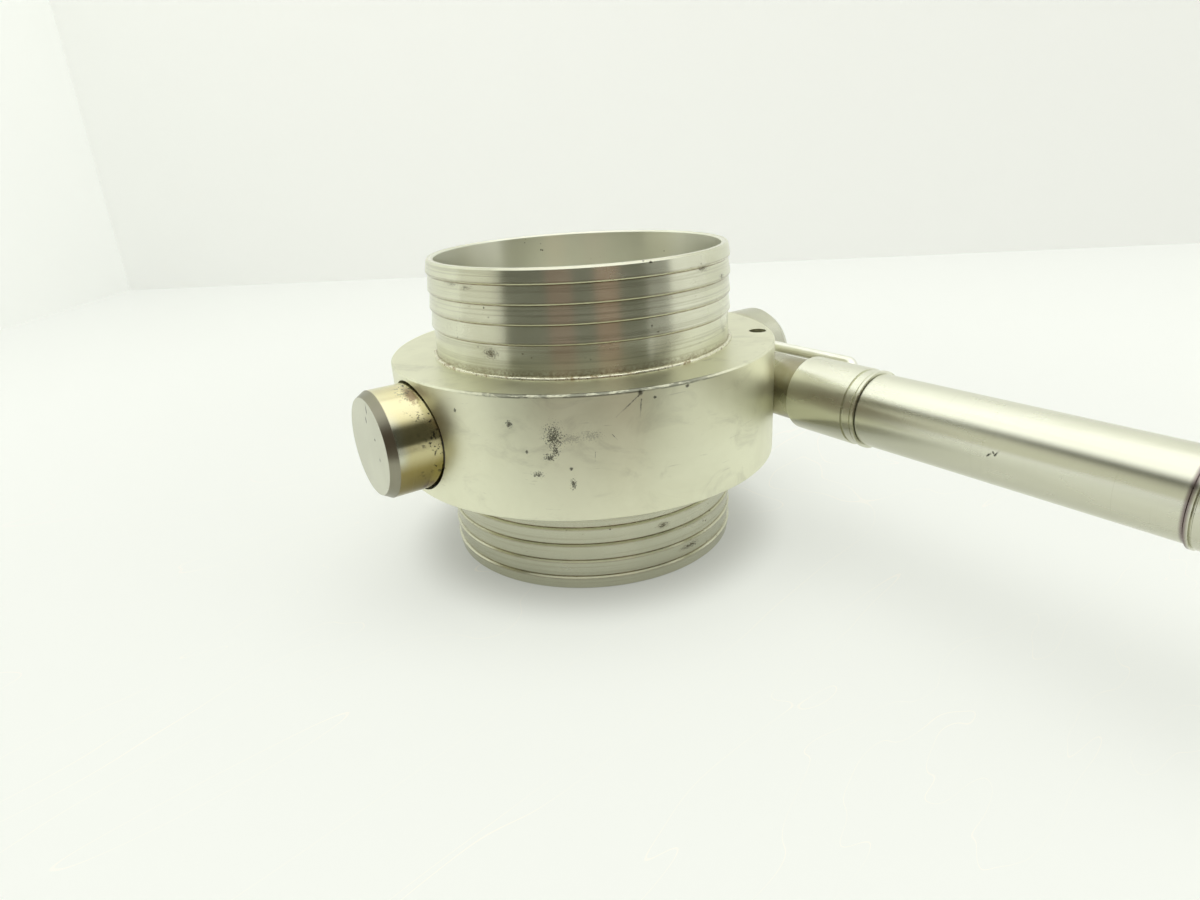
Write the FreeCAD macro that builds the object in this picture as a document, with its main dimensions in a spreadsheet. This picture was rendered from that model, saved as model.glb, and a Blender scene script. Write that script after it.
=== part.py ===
import FreeCAD, Part
import math
import os
import Sketcher

os.makedirs("parts", exist_ok=True)
doc = FreeCAD.newDocument("butterfly_valve")
V = FreeCAD.Vector

# Sizes in millimetres. The flow axis is Z, the disc shaft lies along X through the middle of the
# body, and the air cylinder points along -Y. Depths along the cylinder are counted from the shaft.
SIZES = [
    ("spigot_radius", 50.8, "outer radius at the crest of a hose ridge"),
    ("spigot_wall", 2.3, "wall of a spigot where it is thinnest"),
    ("body_wall", 17.9, "flow path to the outside of the thick ring"),
    ("body_cover", 2.2, "ring material above and below a boss"),
    ("spigot_length", 31.8, "length of a spigot outside the ring"),
    ("spigot_foot", 4.0, "depth of the spigot's foot in the ring"),
    ("ridge_first", 4.6, "free end to the first ridge ledge"),
    ("ridge_pitch", 5.77, "ledge to ledge"),
    ("ridge_step", 0.7, "how far a ledge steps in"),
    ("ledge_break", 0.4, "broken edge at the foot of a ridge"),
    ("rim_chamfer", 0.5, "broken edge at the free rim"),
    ("weld_size", 1.3, "leg of the weld bead"),
    ("edge_break", 0.5, "broken edge of the ring"),
    ("seat_height", 24.0, "height of the rubber seat"),
    ("seat_wall", 1.8, "thickness of the rubber seat"),
    ("boss_radius", 17.0, "radius of both bearing bosses"),
    ("front_stand", 14.2, "how far the front boss stands out of the ring"),
    ("rear_stand", 22.3, "how far the drive boss stands out of the ring"),
    ("boss_chamfer", 1.6, "radial size of the boss chamfer"),
    ("boss_lead", 2.7, "axial size of the boss chamfer"),
    ("front_cover", 6.4, "rubber seat to the floor of the front boss bore"),
    ("chamber_cover", 1.8, "rubber seat to the floor of the gear chamber"),
    ("chamber_length", 7.5, "length of the gear chamber along the shaft"),
    ("ring_section", 0.5, "section radius of a boss ring seal"),
    ("seal_seat", 3.2, "depth of the counterbore round a boss"),
    ("shaft_radius", 6.0, "radius of the disc shaft"),
    ("drive_radius", 4.0, "radius of the shaft under the pinion"),
    ("running_gap", 0.05, "radial clearance of everything that turns or slides"),
    ("disc_gap", 0.08, "radial clearance of the closed disc in its seat"),
    ("disc_rim", 5.0, "thickness of the disc at its rim"),
    ("disc_middle", 9.0, "thickness of the disc near its hub"),
    ("hub_radius", 10.0, "radius of the disc hub along the shaft"),
    ("pin_radius", 2.5, "radius of a disc pin at its thick end"),
    ("pin_place", 22.0, "flow axis to a disc pin"),
    ("gear_module", 1.0, "module of pinion and rack"),
    ("gear_teeth", 14, "number of pinion teeth"),
    ("gear_width", 5.4, "width of the pinion"),
    ("rack_width", 5.2, "width of the rack"),
    ("rack_gap", 0.3, "side clearance of rack and pinion in the chamber"),
    ("backlash", 0.16, "tooth backlash at the pitch line"),
    ("rack_body", 2.8, "pitch line to the back of the rack"),
    ("rack_spaces", 8, "number of tooth spaces in the rack"),
    ("rack_margin", 1.65, "last tooth space to the web of the rack"),
    ("rack_end", 2.36, "first tooth space to the free end of the rack"),
    ("web_thick", 6.0, "thickness of the web"),
    ("web_drop", 5.0, "shaft axis down to the foot of the web"),
    ("rack_room", 1.4, "free length between the web and the neck"),
    ("cap_setback", 9.7, "how far the front cap starts inside the outside of the ring"),
    ("socket_depth", 6.0, "depth of the front cap's socket for the neck"),
    ("cap_length", 26.4, "length of the front cap up to its shoulder"),
    ("band_width", 4.6, "turned band up to the shoulder"),
    ("barrel_length", 87.1, "shoulder to shoulder of the end caps"),
    ("rear_cap_length", 38.5, "length of the rear cap behind its shoulder"),
    ("barrel_bore", 10.0, "bore radius of the barrel"),
    ("barrel_wall", 1.5, "wall of the barrel"),
    ("cap_lip", 0.85, "how far an end cap stands out from the barrel"),
    ("neck_step", 1.85, "how far the neck steps in from the end cap"),
    ("cap_corner", 1.2, "rounded rear corner of the rear cap"),
    ("collar_corner", 0.4, "rounded corner of the front cap beside the ring"),
    ("band_step", 0.3, "depth of the turned band"),
    ("joint_gap", 0.25, "dark gap between cap and barrel"),
    ("line_width", 0.3, "width of a line turned beside the band"),
    ("line_depth", 0.4, "depth of a line turned beside the band"),
    ("lip_width", 0.9, "width of the thin lip beside the gap"),
    ("cap_spigot", 8.3, "length of a cap's spigot in the barrel"),
    ("groove_depth", 1.4, "depth of a ring seal's groove in a cap"),
    ("rod_radius", 4.0, "radius of the piston rod"),
    ("rod_step", 1.0, "how far the rod steps in inside the piston"),
    ("rod_tip", 1.9, "radius of the rod end in the rack"),
    ("way_gap", 1.0, "air way around the rod in the front cap"),
    ("bush_wall", 2.5, "wall of the rod bush"),
    ("piston_room", 5.2, "rear cap to the piston at rest"),
    ("piston_length", 14.0, "length of the piston"),
    ("nut_height", 4.5, "height of the piston nut"),
    ("nut_flats", 10.0, "width of the piston nut across its flats"),
    ("screw_side", 5.4, "cylinder axis to the locking screw"),
    ("screw_inset", 8.1, "inner end of the neck to the locking screw"),
    ("screw_radius", 2.9, "radius of the locking screw and its hole"),
    ("screw_length", 6.0, "length of the locking screw"),
    ("screw_corner", 1.5, "corner radius of the screw's hexagon socket"),
    ("screw_socket", 3.0, "depth of the screw's hexagon socket"),
    ("flat_depth", 0.9, "depth of the flat on the neck"),
    ("tube_radius", 2.0, "radius of the air tube"),
    ("tube_wall", 1.0, "wall of the air tube"),
    ("tube_gap", 0.75, "ring seal to the air tube"),
    ("tube_rise", 9.2, "shaft axis up to the air tube"),
    ("tube_start", 9.5, "shaft to the tube's inner end"),
    ("tube_inset", 2.2, "neck socket to where the tube enters the front cap"),
    ("tube_sink", 2.0, "how deep the tube sits in the front cap"),
    ("bend_radius", 3.2, "bend radius of the air tube"),
    ("port_radius", 4.283, "radius of the rear air port's wall"),
    ("port_depth", 10.0, "depth of the rear air port"),
    ("small_port", 2.1, "radius of the small air port in the drive boss"),
    ("small_depth", 9.0, "depth of the small air port"),
    ("port_inset", 1.5, "tube's inner end to the axis of the small air port"),
]
DERIVED = [
    ("root_radius", "=spigot_radius - ridge_step"),
    ("flow_radius", "=root_radius - spigot_wall"),
    ("foot_radius", "=root_radius"),
    ("body_radius", "=flow_radius + body_wall"),
    ("body_height", "=2 * boss_radius + 2 * body_cover"),
    ("total_height", "=body_height + 2 * spigot_length"),
    ("axis_height", "=total_height / 2"),
    ("body_bottom", "=spigot_length"),
    ("body_top", "=spigot_length + body_height"),
    ("rim_outer", "=root_radius - rim_chamfer"),
    ("rim_inner", "=flow_radius + rim_chamfer"),
    ("seat_radius", "=flow_radius + seat_wall"),
    ("seat_bottom", "=axis_height - seat_height / 2"),
    ("seat_top", "=axis_height + seat_height / 2"),
    ("disc_radius", "=flow_radius - disc_gap"),
    ("front_reach", "=body_radius + front_stand"),
    ("rear_reach", "=body_radius + rear_stand"),
    ("front_floor", "=seat_radius + front_cover"),
    ("chamber_floor", "=seat_radius + chamber_cover"),
    ("plug_start", "=chamber_floor + chamber_length"),
    ("ring_front", "=body_radius - seal_seat + ring_section"),
    ("ring_inner", "=boss_radius - 0.3"),
    ("seat_bore", "=ring_inner + 2 * ring_section + 0.02"),
    ("pitch_radius", "=gear_module * gear_teeth / 2"),
    ("tooth_pitch", "=gear_module * 3.14159265"),
    ("stroke", "=pitch_radius * 1.5707963"),
    ("rack_tip", "=pitch_radius - 0.8 * gear_module"),
    ("pinion_tip", "=pitch_radius + 0.9 * gear_module"),
    ("pinion_root", "=pitch_radius - 1.1 * gear_module"),
    ("rack_root", "=pitch_radius + 1.15 * gear_module"),
    ("rack_back", "=pitch_radius + rack_body"),
    ("rack_left", "=tooth_pitch + rack_end"),
    ("rack_web", "=tooth_pitch * ( rack_spaces - 2 ) + rack_margin"),
    ("pinion_start", "=chamber_floor + rack_gap"),
    ("actuator_x", "=pinion_start + gear_width / 2"),
    ("rack_x", "=actuator_x - rack_width / 2"),
    ("neck_start", "=rack_web + web_thick + rack_room"),
    ("cap_start", "=body_radius - cap_setback"),
    ("cap_socket", "=cap_start + socket_depth"),
    ("joint_front", "=cap_start + cap_length"),
    ("band_start", "=joint_front - band_width"),
    ("joint_rear", "=joint_front + barrel_length"),
    ("cap_end", "=joint_rear + rear_cap_length"),
    ("barrel_radius", "=barrel_bore + barrel_wall"),
    ("cap_radius", "=barrel_radius + cap_lip"),
    ("neck_radius", "=cap_radius - neck_step"),
    ("front_spigot_end", "=joint_front + cap_spigot"),
    ("rear_spigot_end", "=joint_rear - cap_spigot"),
    ("piston_end", "=rear_spigot_end - piston_room"),
    ("piston_start", "=piston_end - piston_length"),
    ("piston_radius", "=barrel_bore - running_gap"),
    ("rod_tail", "=rod_radius - rod_step"),
    ("way_radius", "=rod_radius + way_gap"),
    ("rod_bush_radius", "=rod_radius + bush_wall"),
    ("screw_x", "=actuator_x - screw_side"),
    ("screw_depth", "=neck_start + screw_inset"),
    ("screw_flat", "=neck_radius - flat_depth"),
    ("tube_bore", "=tube_radius - tube_wall"),
    ("tube_x", "=ring_front + ring_section + tube_radius + tube_gap"),
    ("tube_bend", "=cap_socket + tube_inset - bend_radius"),
    ("tube_offset", "=tube_x - actuator_x"),
    ("tube_distance", "=sqrt(tube_offset ^ 2 + tube_rise ^ 2)"),
    ("tube_lean", "=atan(tube_rise / tube_offset)"),
]

sheet = doc.addObject("Spreadsheet::Sheet", "Dims")
row = 0
for name, value, words in SIZES:
    row += 1
    sheet.set("A%d" % row, name)
    sheet.set("B%d" % row, str(value))
    sheet.set("C%d" % row, words)
    sheet.setAlias("B%d" % row, name)
doc.recompute()
for name, formula in DERIVED:
    row += 1
    sheet.set("A%d" % row, name)
    sheet.set("B%d" % row, formula)
    sheet.setAlias("B%d" % row, name)
    doc.recompute()


def size(name):
    return float(sheet.get(name))


def bind(obj, **links):
    """Bind properties of an object to words of the sheet; a double underscore stands for a dot."""
    for key, words in links.items():
        text = " ".join("Dims." + w if w[0].isalpha() else w for w in words.split())
        obj.setExpression(key.replace("__", "."), text)


def amount(words):
    """The value that an expression of sheet words and + - * / has now, worked from left to right."""
    total = 0.0
    sign = "+"
    for w in words.split():
        if w in "+-*/":
            sign = w
            continue
        value = size(w) if w[0].isalpha() else float(w)
        if sign == "+":
            total += value
        elif sign == "-":
            total -= value
        elif sign == "*":
            total *= value
        else:
            total /= value
    return total


def plane(body, role):
    for f in body.Origin.OriginFeatures:
        if f.Role == role:
            return f


def profile(body, name, points, role="XZ_Plane"):
    """A closed outline of straight lines; each corner is held by two dimensions from the origin."""
    sk = body.newObject("Sketcher::SketchObject", name)
    sk.AttachmentSupport = (plane(body, role), [""])
    sk.MapMode = "FlatFace"
    spots = [V(amount(a), amount(b), 0) for a, b in points]
    n = len(spots)
    for i in range(n):
        sk.addGeometry(Part.LineSegment(spots[i], spots[(i + 1) % n]), False)
    for i in range(n):
        sk.addConstraint(Sketcher.Constraint("Coincident", i, 2, (i + 1) % n, 1))
    for i in range(n):
        for kind, axis, words, value in (("DistanceX", -2, points[i][0], spots[i].x),
                                         ("DistanceY", -1, points[i][1], spots[i].y)):
            if abs(value) < 1e-9:
                sk.addConstraint(Sketcher.Constraint("PointOnObject", i, 1, axis))
                continue
            k = sk.addConstraint(Sketcher.Constraint(kind, -1, 1, i, 1, value))
            text = " ".join("Dims." + w if w[0].isalpha() else w for w in in_order(words))
            sk.setExpression("Constraints[%d]" % k, text)
    return sk


def in_order(words):
    """Brackets that keep an expression worked from left to right."""
    parts = words.split()
    marks = [w for w in parts if w in ("+", "-", "*", "/")]
    if len(marks) < 2:
        return parts
    out = parts[:1]
    i = 1
    while i < len(parts):
        out = ["("] + out + [parts[i], parts[i + 1], ")"]
        i += 2
    return out


def turned(label, points, where=None):
    """A turned piece: the outline (radius, height) is spun about the piece's own axis."""
    body = doc.addObject("PartDesign::Body", label)
    sk = profile(body, label + "_outline", points)
    rev = body.newObject("PartDesign::Revolution", label + "_turn")
    rev.Profile = sk
    rev.ReferenceAxis = (sk, ["V_Axis"])
    rev.Angle = 360.0
    body.Label = label
    if where:
        set_axis(body, where)
    return body


def set_axis(obj, where):
    """Lay a piece's own axis along the shaft (+X) or along the cylinder (-Y)."""
    if where == "shaft":
        obj.Placement = FreeCAD.Placement(V(0, 0, size("axis_height")), FreeCAD.Rotation(V(0, 1, 0), 90))
        bind(obj, Placement__Base__z="axis_height")
    if where == "cylinder":
        obj.Placement = FreeCAD.Placement(V(size("actuator_x"), 0, size("axis_height")),
                                          FreeCAD.Rotation(V(1, 0, 0), 90))
        bind(obj, Placement__Base__x="actuator_x", Placement__Base__z="axis_height")


def rod(name, radius, start, length, where, offset=None):
    """A plain cutting cylinder along the flow axis, the shaft or the air cylinder."""
    c = doc.addObject("Part::Cylinder", name)
    bind(c, Radius=radius, Height=length)
    if where == "flow":
        bind(c, Placement__Base__z=start)
    if where == "shaft":
        c.Placement = FreeCAD.Placement(V(0, 0, 0), FreeCAD.Rotation(V(0, 1, 0), 90))
        bind(c, Placement__Base__x=start, Placement__Base__z="axis_height")
    if where == "cylinder":
        c.Placement = FreeCAD.Placement(V(0, 0, 0), FreeCAD.Rotation(V(1, 0, 0), 90))
        bind(c, Placement__Base__x="actuator_x", Placement__Base__y="0 - ( " + start + " )",
             Placement__Base__z="axis_height")
    if offset:
        bind(c, **offset)
    return c


def box(name, length, width, height, x, y, z):
    b = doc.addObject("Part::Box", name)
    bind(b, Length=length, Width=width, Height=height)
    bind(b, Placement__Base__x=x, Placement__Base__y=y, Placement__Base__z=z)
    return b


def cut(label, base, tools):
    tool = tools[0]
    if len(tools) > 1:
        tool = doc.addObject("Part::MultiFuse", label + "_tools")
        tool.Shapes = tools
    c = doc.addObject("Part::Cut", label + "_cut")
    c.Base = base
    c.Tool = tool
    c.Label = label
    return c


def ring(label, major, minor, where, start):
    """A round-section ring seal about the shaft or the cylinder."""
    t = doc.addObject("Part::Torus", label)
    bind(t, Radius1=major, Radius2=minor)
    if where == "shaft":
        t.Placement = FreeCAD.Placement(V(0, 0, 0), FreeCAD.Rotation(V(0, 1, 0), 90))
        bind(t, Placement__Base__x=start, Placement__Base__z="axis_height")
    if where == "cylinder":
        t.Placement = FreeCAD.Placement(V(0, 0, 0), FreeCAD.Rotation(V(1, 0, 0), 90))
        bind(t, Placement__Base__x="actuator_x", Placement__Base__y="0 - ( " + start + " )",
             Placement__Base__z="axis_height")
    t.Label = label
    return t


nodes = []

# The thick ring, turned: flow bore, groove for the rubber seat, recesses for the spigot feet.
body_turned = turned("body_blank", [
    ("seat_radius", "seat_bottom"),
    ("flow_radius", "seat_bottom"),
    ("flow_radius", "body_bottom + spigot_foot"),
    ("foot_radius", "body_bottom + spigot_foot"),
    ("foot_radius", "body_bottom"),
    ("body_radius - edge_break", "body_bottom"),
    ("body_radius", "body_bottom + edge_break"),
    ("body_radius", "body_top - edge_break"),
    ("body_radius - edge_break", "body_top"),
    ("foot_radius", "body_top"),
    ("foot_radius", "body_top - spigot_foot"),
    ("flow_radius", "body_top - spigot_foot"),
    ("flow_radius", "seat_top"),
    ("seat_radius", "seat_top"),
])
# Cuts along the shaft: boss bores, seal seats, shaft hole; then the rack's way and the neck's bore.
body_cuts = [
    rod("front_bore", "boss_radius", "0 - front_floor - 20", "20", "shaft"),
    rod("gear_chamber", "boss_radius", "chamber_floor", "30", "shaft"),
    rod("front_seal_seat", "seat_bore", "0 - body_radius - 1", "seal_seat + 1", "shaft"),
    rod("drive_seal_seat", "seat_bore", "body_radius - seal_seat", "seal_seat + 1", "shaft"),
    rod("shaft_hole", "shaft_radius + running_gap", "0 - body_radius", "body_radius + chamber_floor", "shaft"),
    rod("neck_bore", "neck_radius", "neck_start", "60", "cylinder"),
    rod("rod_way", "rod_radius + 0.5", "rack_web + web_thick - stroke - 1.6",
        "neck_start - rack_web - web_thick + stroke + 2.1", "cylinder"),
    box("rack_way", "rack_width + 2 * rack_gap", "neck_start + rack_left + stroke + 1.8",
        "rack_back - rack_tip + 0.7", "rack_x - rack_gap", "0 - neck_start - 0.2", "axis_height + rack_tip - 0.6"),
    box("web_way", "rack_width + 2 * rack_gap", "neck_start - rack_web + stroke + 0.7",
        "rack_back + web_drop + 0.5", "rack_x - rack_gap", "0 - neck_start - 0.2", "axis_height - web_drop - 0.4"),
    rod("screw_hole", "screw_radius", "axis_height + screw_flat - 1", "20", "flow",
        dict(Placement__Base__x="screw_x", Placement__Base__y="0 - screw_depth")),
]
nodes.append(cut("valve_body", body_turned, body_cuts))

# One hose spigot: four ridges, each widening from the free end to a broken edge, then stepping in.
spigot_points = [
    ("flow_radius", "spigot_foot * -1"),
    ("foot_radius", "spigot_foot * -1"),
    ("foot_radius", "0"),
    ("root_radius + 0.15", "0"),
]
for ridge in (3, 2, 1, 0):
    ledge = "spigot_length - ridge_first" + " - ridge_pitch" * ridge
    spigot_points += [
        ("root_radius", ledge),
        ("spigot_radius - ledge_break", ledge + " + 0.1"),
        ("spigot_radius", ledge + " + 0.1 + ledge_break"),
    ]
spigot_points += [
    ("root_radius + 0.1", "spigot_length - rim_chamfer"),
    ("rim_outer + 0.1", "spigot_length"),
    ("rim_inner", "spigot_length"),
    ("flow_radius", "spigot_length - rim_chamfer"),
]
upper_spigot = turned("upper_spigot", spigot_points)
bind(upper_spigot, Placement__Base__z="body_top")
lower_spigot = turned("lower_spigot", spigot_points)
lower_spigot.Placement = FreeCAD.Placement(V(0, 0, 0), FreeCAD.Rotation(V(1, 0, 0), 180))
bind(lower_spigot, Placement__Base__z="body_bottom")
nodes += [upper_spigot, lower_spigot]

# Weld beads in the corners between the ring and the spigots.
weld_points = [
    ("root_radius + 0.15", "0"),
    ("root_radius + 0.15 + weld_size", "0"),
    ("root_radius + 0.05 + weld_size", "weld_size * 0.45"),
    ("root_radius - 0.2 + weld_size", "weld_size * 0.8"),
    ("root_radius + 0.13", "weld_size"),
]
upper_weld = turned("upper_weld", weld_points)
bind(upper_weld, Placement__Base__z="body_top")
lower_weld = turned("lower_weld", weld_points)
lower_weld.Placement = FreeCAD.Placement(V(0, 0, 0), FreeCAD.Rotation(V(1, 0, 0), 180))
bind(lower_weld, Placement__Base__z="body_bottom")
nodes += [upper_weld, lower_weld]

# Rubber seat in the ring, with its two shaft holes.
seat_blank = turned("seat_blank", [
    ("flow_radius", "seat_bottom"),
    ("seat_radius", "seat_bottom"),
    ("seat_radius", "seat_top"),
    ("flow_radius", "seat_top"),
])
seat_hole = rod("seat_hole", "shaft_radius + running_gap", "0 - body_radius", "2 * body_radius", "shaft")
nodes.append(cut("disc_seat", seat_blank, [seat_hole]))

# Front bearing boss, its bush and the ring seal round its root.
front_boss = turned("front_boss", [
    ("0", "0 - front_reach"),
    ("boss_radius - boss_chamfer", "0 - front_reach"),
    ("boss_radius", "boss_lead - front_reach"),
    ("boss_radius", "0 - ring_front - ring_section"),
    ("ring_inner", "0 - ring_front - ring_section"),
    ("ring_inner", "ring_section - ring_front"),
    ("boss_radius", "ring_section - ring_front"),
    ("boss_radius", "0 - front_floor"),
    ("shaft_radius + 3", "0 - front_floor"),
    ("shaft_radius + 3", "0 - front_floor - 16"),
    ("shaft_radius + 1", "0 - front_floor - 16"),
    ("shaft_radius + 1", "0 - front_floor - 20"),
    ("0", "0 - front_floor - 20"),
], "shaft")
front_bush = turned("front_bush", [
    ("shaft_radius + running_gap", "0 - front_floor - 15.5"),
    ("shaft_radius + 3", "0 - front_floor - 15.5"),
    ("shaft_radius + 3", "0 - front_floor"),
    ("shaft_radius + running_gap", "0 - front_floor"),
], "shaft")
front_ring = ring("front_boss_seal", "ring_inner + ring_section", "ring_section", "shaft", "0 - ring_front")
nodes += [front_boss, front_bush, front_ring]

# Drive boss: closes the gear chamber, carries the shaft's far end and the small air port.
drive_blank = turned("drive_blank", [
    ("drive_radius + 3", "plug_start"),
    ("boss_radius", "plug_start"),
    ("boss_radius", "ring_front - ring_section"),
    ("ring_inner", "ring_front - ring_section"),
    ("ring_inner", "ring_front + ring_section"),
    ("boss_radius", "ring_front + ring_section"),
    ("boss_radius", "rear_reach - boss_lead"),
    ("boss_radius - boss_chamfer", "rear_reach"),
    ("0", "rear_reach"),
    ("0", "plug_start + 23"),
    ("drive_radius + 1", "plug_start + 23"),
    ("drive_radius + 1", "plug_start + 16"),
    ("drive_radius + 3", "plug_start + 16"),
], "shaft")
port_place = dict(Placement__Base__y="0 - ( tube_start - port_inset )", Placement__Base__z="axis_height + tube_rise")
tube_place = dict(Placement__Base__x="tube_x", Placement__Base__z="axis_height + tube_rise")
drive_cuts = [
    rod("small_port_hole", "small_port", "rear_reach - small_depth", "small_depth + 5", "shaft", port_place),
    rod("small_way", "tube_bore + 0.3", "tube_x - tube_bore - 0.5",
        "rear_reach - small_depth - tube_x + tube_bore + 1", "shaft", port_place),
    rod("tube_way", "tube_bore", "tube_start - port_inset", "port_inset + 0.5", "cylinder", tube_place),
    rod("tube_socket", "tube_radius", "tube_start", "12", "cylinder", tube_place),
]
nodes.append(cut("drive_boss", drive_blank, drive_cuts))
drive_bush = turned("drive_bush", [
    ("drive_radius + running_gap", "plug_start"),
    ("drive_radius + 3", "plug_start"),
    ("drive_radius + 3", "plug_start + 15.5"),
    ("drive_radius + running_gap", "plug_start + 15.5"),
], "shaft")
drive_ring = ring("drive_boss_seal", "ring_inner + ring_section", "ring_section", "shaft", "ring_front")
nodes += [drive_bush, drive_ring]

# Disc shaft: thick through the disc, thinner under the pinion, grooves for two ring seals, keyway.
shaft_blank = turned("shaft_blank", [
    ("0", "0 - front_floor - 19.5"),
    ("shaft_radius - 0.5", "0 - front_floor - 19.5"),
    ("shaft_radius", "0 - front_floor - 19"),
    ("shaft_radius", "0 - seat_radius - 4"),
    ("shaft_radius - 1.4", "0 - seat_radius - 4"),
    ("shaft_radius - 1.4", "0 - seat_radius - 2.4"),
    ("shaft_radius", "0 - seat_radius - 2.4"),
    ("shaft_radius", "chamber_floor - 1.4"),
    ("shaft_radius - 0.95", "chamber_floor - 1.4"),
    ("shaft_radius - 0.95", "chamber_floor - 0.4"),
    ("shaft_radius", "chamber_floor - 0.4"),
    ("shaft_radius", "chamber_floor"),
    ("drive_radius", "chamber_floor"),
    ("drive_radius", "plug_start + 21.5"),
    ("drive_radius - 0.5", "plug_start + 22"),
    ("0", "plug_start + 22"),
], "shaft")
keyway = box("keyway", "gear_width", "2", "2", "pinion_start", "-1", "axis_height + drive_radius - 1")
pin_holes = []
for tag, sign in (("left", "-1 * "), ("right", "1 * ")):
    pin_holes.append(rod("pin_hole_" + tag, "pin_radius", "axis_height - 20", "40", "flow",
                         dict(Placement__Base__x=sign + "pin_place")))
nodes.append(cut("disc_shaft", shaft_blank, [keyway] + pin_holes))
front_seal = ring("front_shaft_seal", "shaft_radius - 0.7", "0.7", "shaft", "0 - seat_radius - 3.2")
drive_seal = ring("drive_shaft_seal", "shaft_radius - 0.47", "0.47", "shaft", "chamber_floor - 0.9")
nodes += [front_seal, drive_seal]

# Disc: dished faces, hub along the shaft, rim shaped like a ball so that it can swing in the seat.
disc_turned = turned("disc_turned", [
    ("0", "disc_middle / -2"),
    ("hub_radius + 6", "disc_middle / -2"),
    ("disc_radius - 4", "disc_rim / -2"),
    ("disc_radius + 2", "disc_rim / -2"),
    ("disc_radius + 2", "disc_rim / 2"),
    ("disc_radius - 4", "disc_rim / 2"),
    ("hub_radius + 6", "disc_middle / 2"),
    ("0", "disc_middle / 2"),
])
bind(disc_turned, Placement__Base__z="axis_height")
disc_hub = rod("disc_hub", "hub_radius", "0 - disc_radius", "2 * disc_radius", "shaft")
disc_sum = doc.addObject("Part::Fuse", "disc_sum")
disc_sum.Base = disc_turned
disc_sum.Tool = disc_hub
ball = doc.addObject("Part::Sphere", "disc_ball")
bind(ball, Radius="disc_radius", Placement__Base__z="axis_height")
disc_round = doc.addObject("Part::Common", "disc_round")
disc_round.Base = disc_sum
disc_round.Tool = ball
disc_hole = rod("disc_hole", "shaft_radius", "0 - body_radius", "2 * body_radius", "shaft")
disc_pin_holes = []
for tag, sign in (("left", "-1 * "), ("right", "1 * ")):
    disc_pin_holes.append(rod("disc_pin_hole_" + tag, "pin_radius", "axis_height - 20", "40", "flow",
                              dict(Placement__Base__x=sign + "pin_place")))
nodes.append(cut("disc", disc_round, [disc_hole] + disc_pin_holes))
for tag, sign in (("left", "-1 * "), ("right", "1 * ")):
    pin = turned("disc_pin_" + tag, [
        ("0", "0 - hub_radius - 0.6"),
        ("pin_radius - 0.4", "0 - hub_radius - 0.6"),
        ("pin_radius", "0.2 - hub_radius"),
        ("pin_radius", "hub_radius - 0.2"),
        ("pin_radius - 0.4", "hub_radius + 0.6"),
        ("0", "hub_radius + 0.6"),
    ])
    bind(pin, Placement__Base__x=sign + "pin_place", Placement__Base__z="axis_height")
    nodes.append(pin)

# Pinion: blank, one tooth space with involute flanks cut as short chords, then the pattern.
pressure = math.radians(20.0)


def involute(radius, base, half_angle_at_pitch, pitch):
    """Half angle of a tooth space at a radius of the involute flank."""
    def roll(r):
        a = math.acos(min(1.0, base / r))
        return math.tan(a) - a
    return half_angle_at_pitch + roll(max(radius, base)) - roll(pitch)


pitch = size("pitch_radius")
base_circle = pitch * math.cos(pressure)
space_half = math.pi / (2 * size("gear_teeth")) + size("backlash") / (4 * pitch)
flank = []
steps = 5
for i in range(steps + 1):
    r = base_circle + (size("pinion_tip") + 0.05 - base_circle) * i / steps
    flank.append((r, involute(r, base_circle, space_half, pitch)))
flank = [(size("pinion_root"), flank[0][1])] + flank + [(size("pinion_tip") + 0.6, flank[-1][1])]
turn = math.pi / size("gear_teeth")

pinion = doc.addObject("PartDesign::Body", "pinion")
blank_sketch = pinion.newObject("Sketcher::SketchObject", "pinion_blank_sketch")
blank_sketch.AttachmentSupport = (plane(pinion, "XY_Plane"), [""])
blank_sketch.MapMode = "FlatFace"
blank_sketch.addGeometry(Part.Circle(V(0, 0, 0), V(0, 0, 1), size("pinion_tip")), False)
blank_sketch.addGeometry(Part.Circle(V(0, 0, 0), V(0, 0, 1), size("drive_radius")), False)
for i, words in ((0, "Dims.pinion_tip"), (1, "Dims.drive_radius")):
    blank_sketch.addConstraint(Sketcher.Constraint("Coincident", i, 3, -1, 1))
    k = blank_sketch.addConstraint(Sketcher.Constraint("Radius", i, size(words.split(".")[1])))
    blank_sketch.setExpression("Constraints[%d]" % k, words)
pinion_pad = pinion.newObject("PartDesign::Pad", "pinion_pad")
pinion_pad.Profile = blank_sketch
bind(pinion_pad, Length="gear_width")
space_sketch = pinion.newObject("Sketcher::SketchObject", "pinion_space_sketch")
space_sketch.AttachmentSupport = (plane(pinion, "XY_Plane"), [""])
space_sketch.MapMode = "FlatFace"
left_side = [V(r * math.cos(turn + a), r * math.sin(turn + a), 0) for r, a in flank]
right_side = [V(r * math.cos(turn - a), r * math.sin(turn - a), 0) for r, a in reversed(flank)]
corners = left_side + right_side
for i in range(len(corners)):
    space_sketch.addGeometry(Part.LineSegment(corners[i], corners[(i + 1) % len(corners)]), False)
for i in range(len(corners)):
    space_sketch.addConstraint(Sketcher.Constraint("Coincident", i, 2, (i + 1) % len(corners), 1))
pinion_space = pinion.newObject("PartDesign::Pocket", "pinion_space")
pinion_space.Profile = space_sketch
pinion_space.Type = 1
pinion_space.Reversed = True
pinion_teeth = pinion.newObject("PartDesign::PolarPattern", "pinion_teeth")
pinion_teeth.Originals = [pinion_space]
pinion_teeth.Axis = (blank_sketch, ["N_Axis"])
pinion_teeth.Angle = 360.0
bind(pinion_teeth, Occurrences="gear_teeth")
pinion.Tip = pinion_teeth
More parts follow.
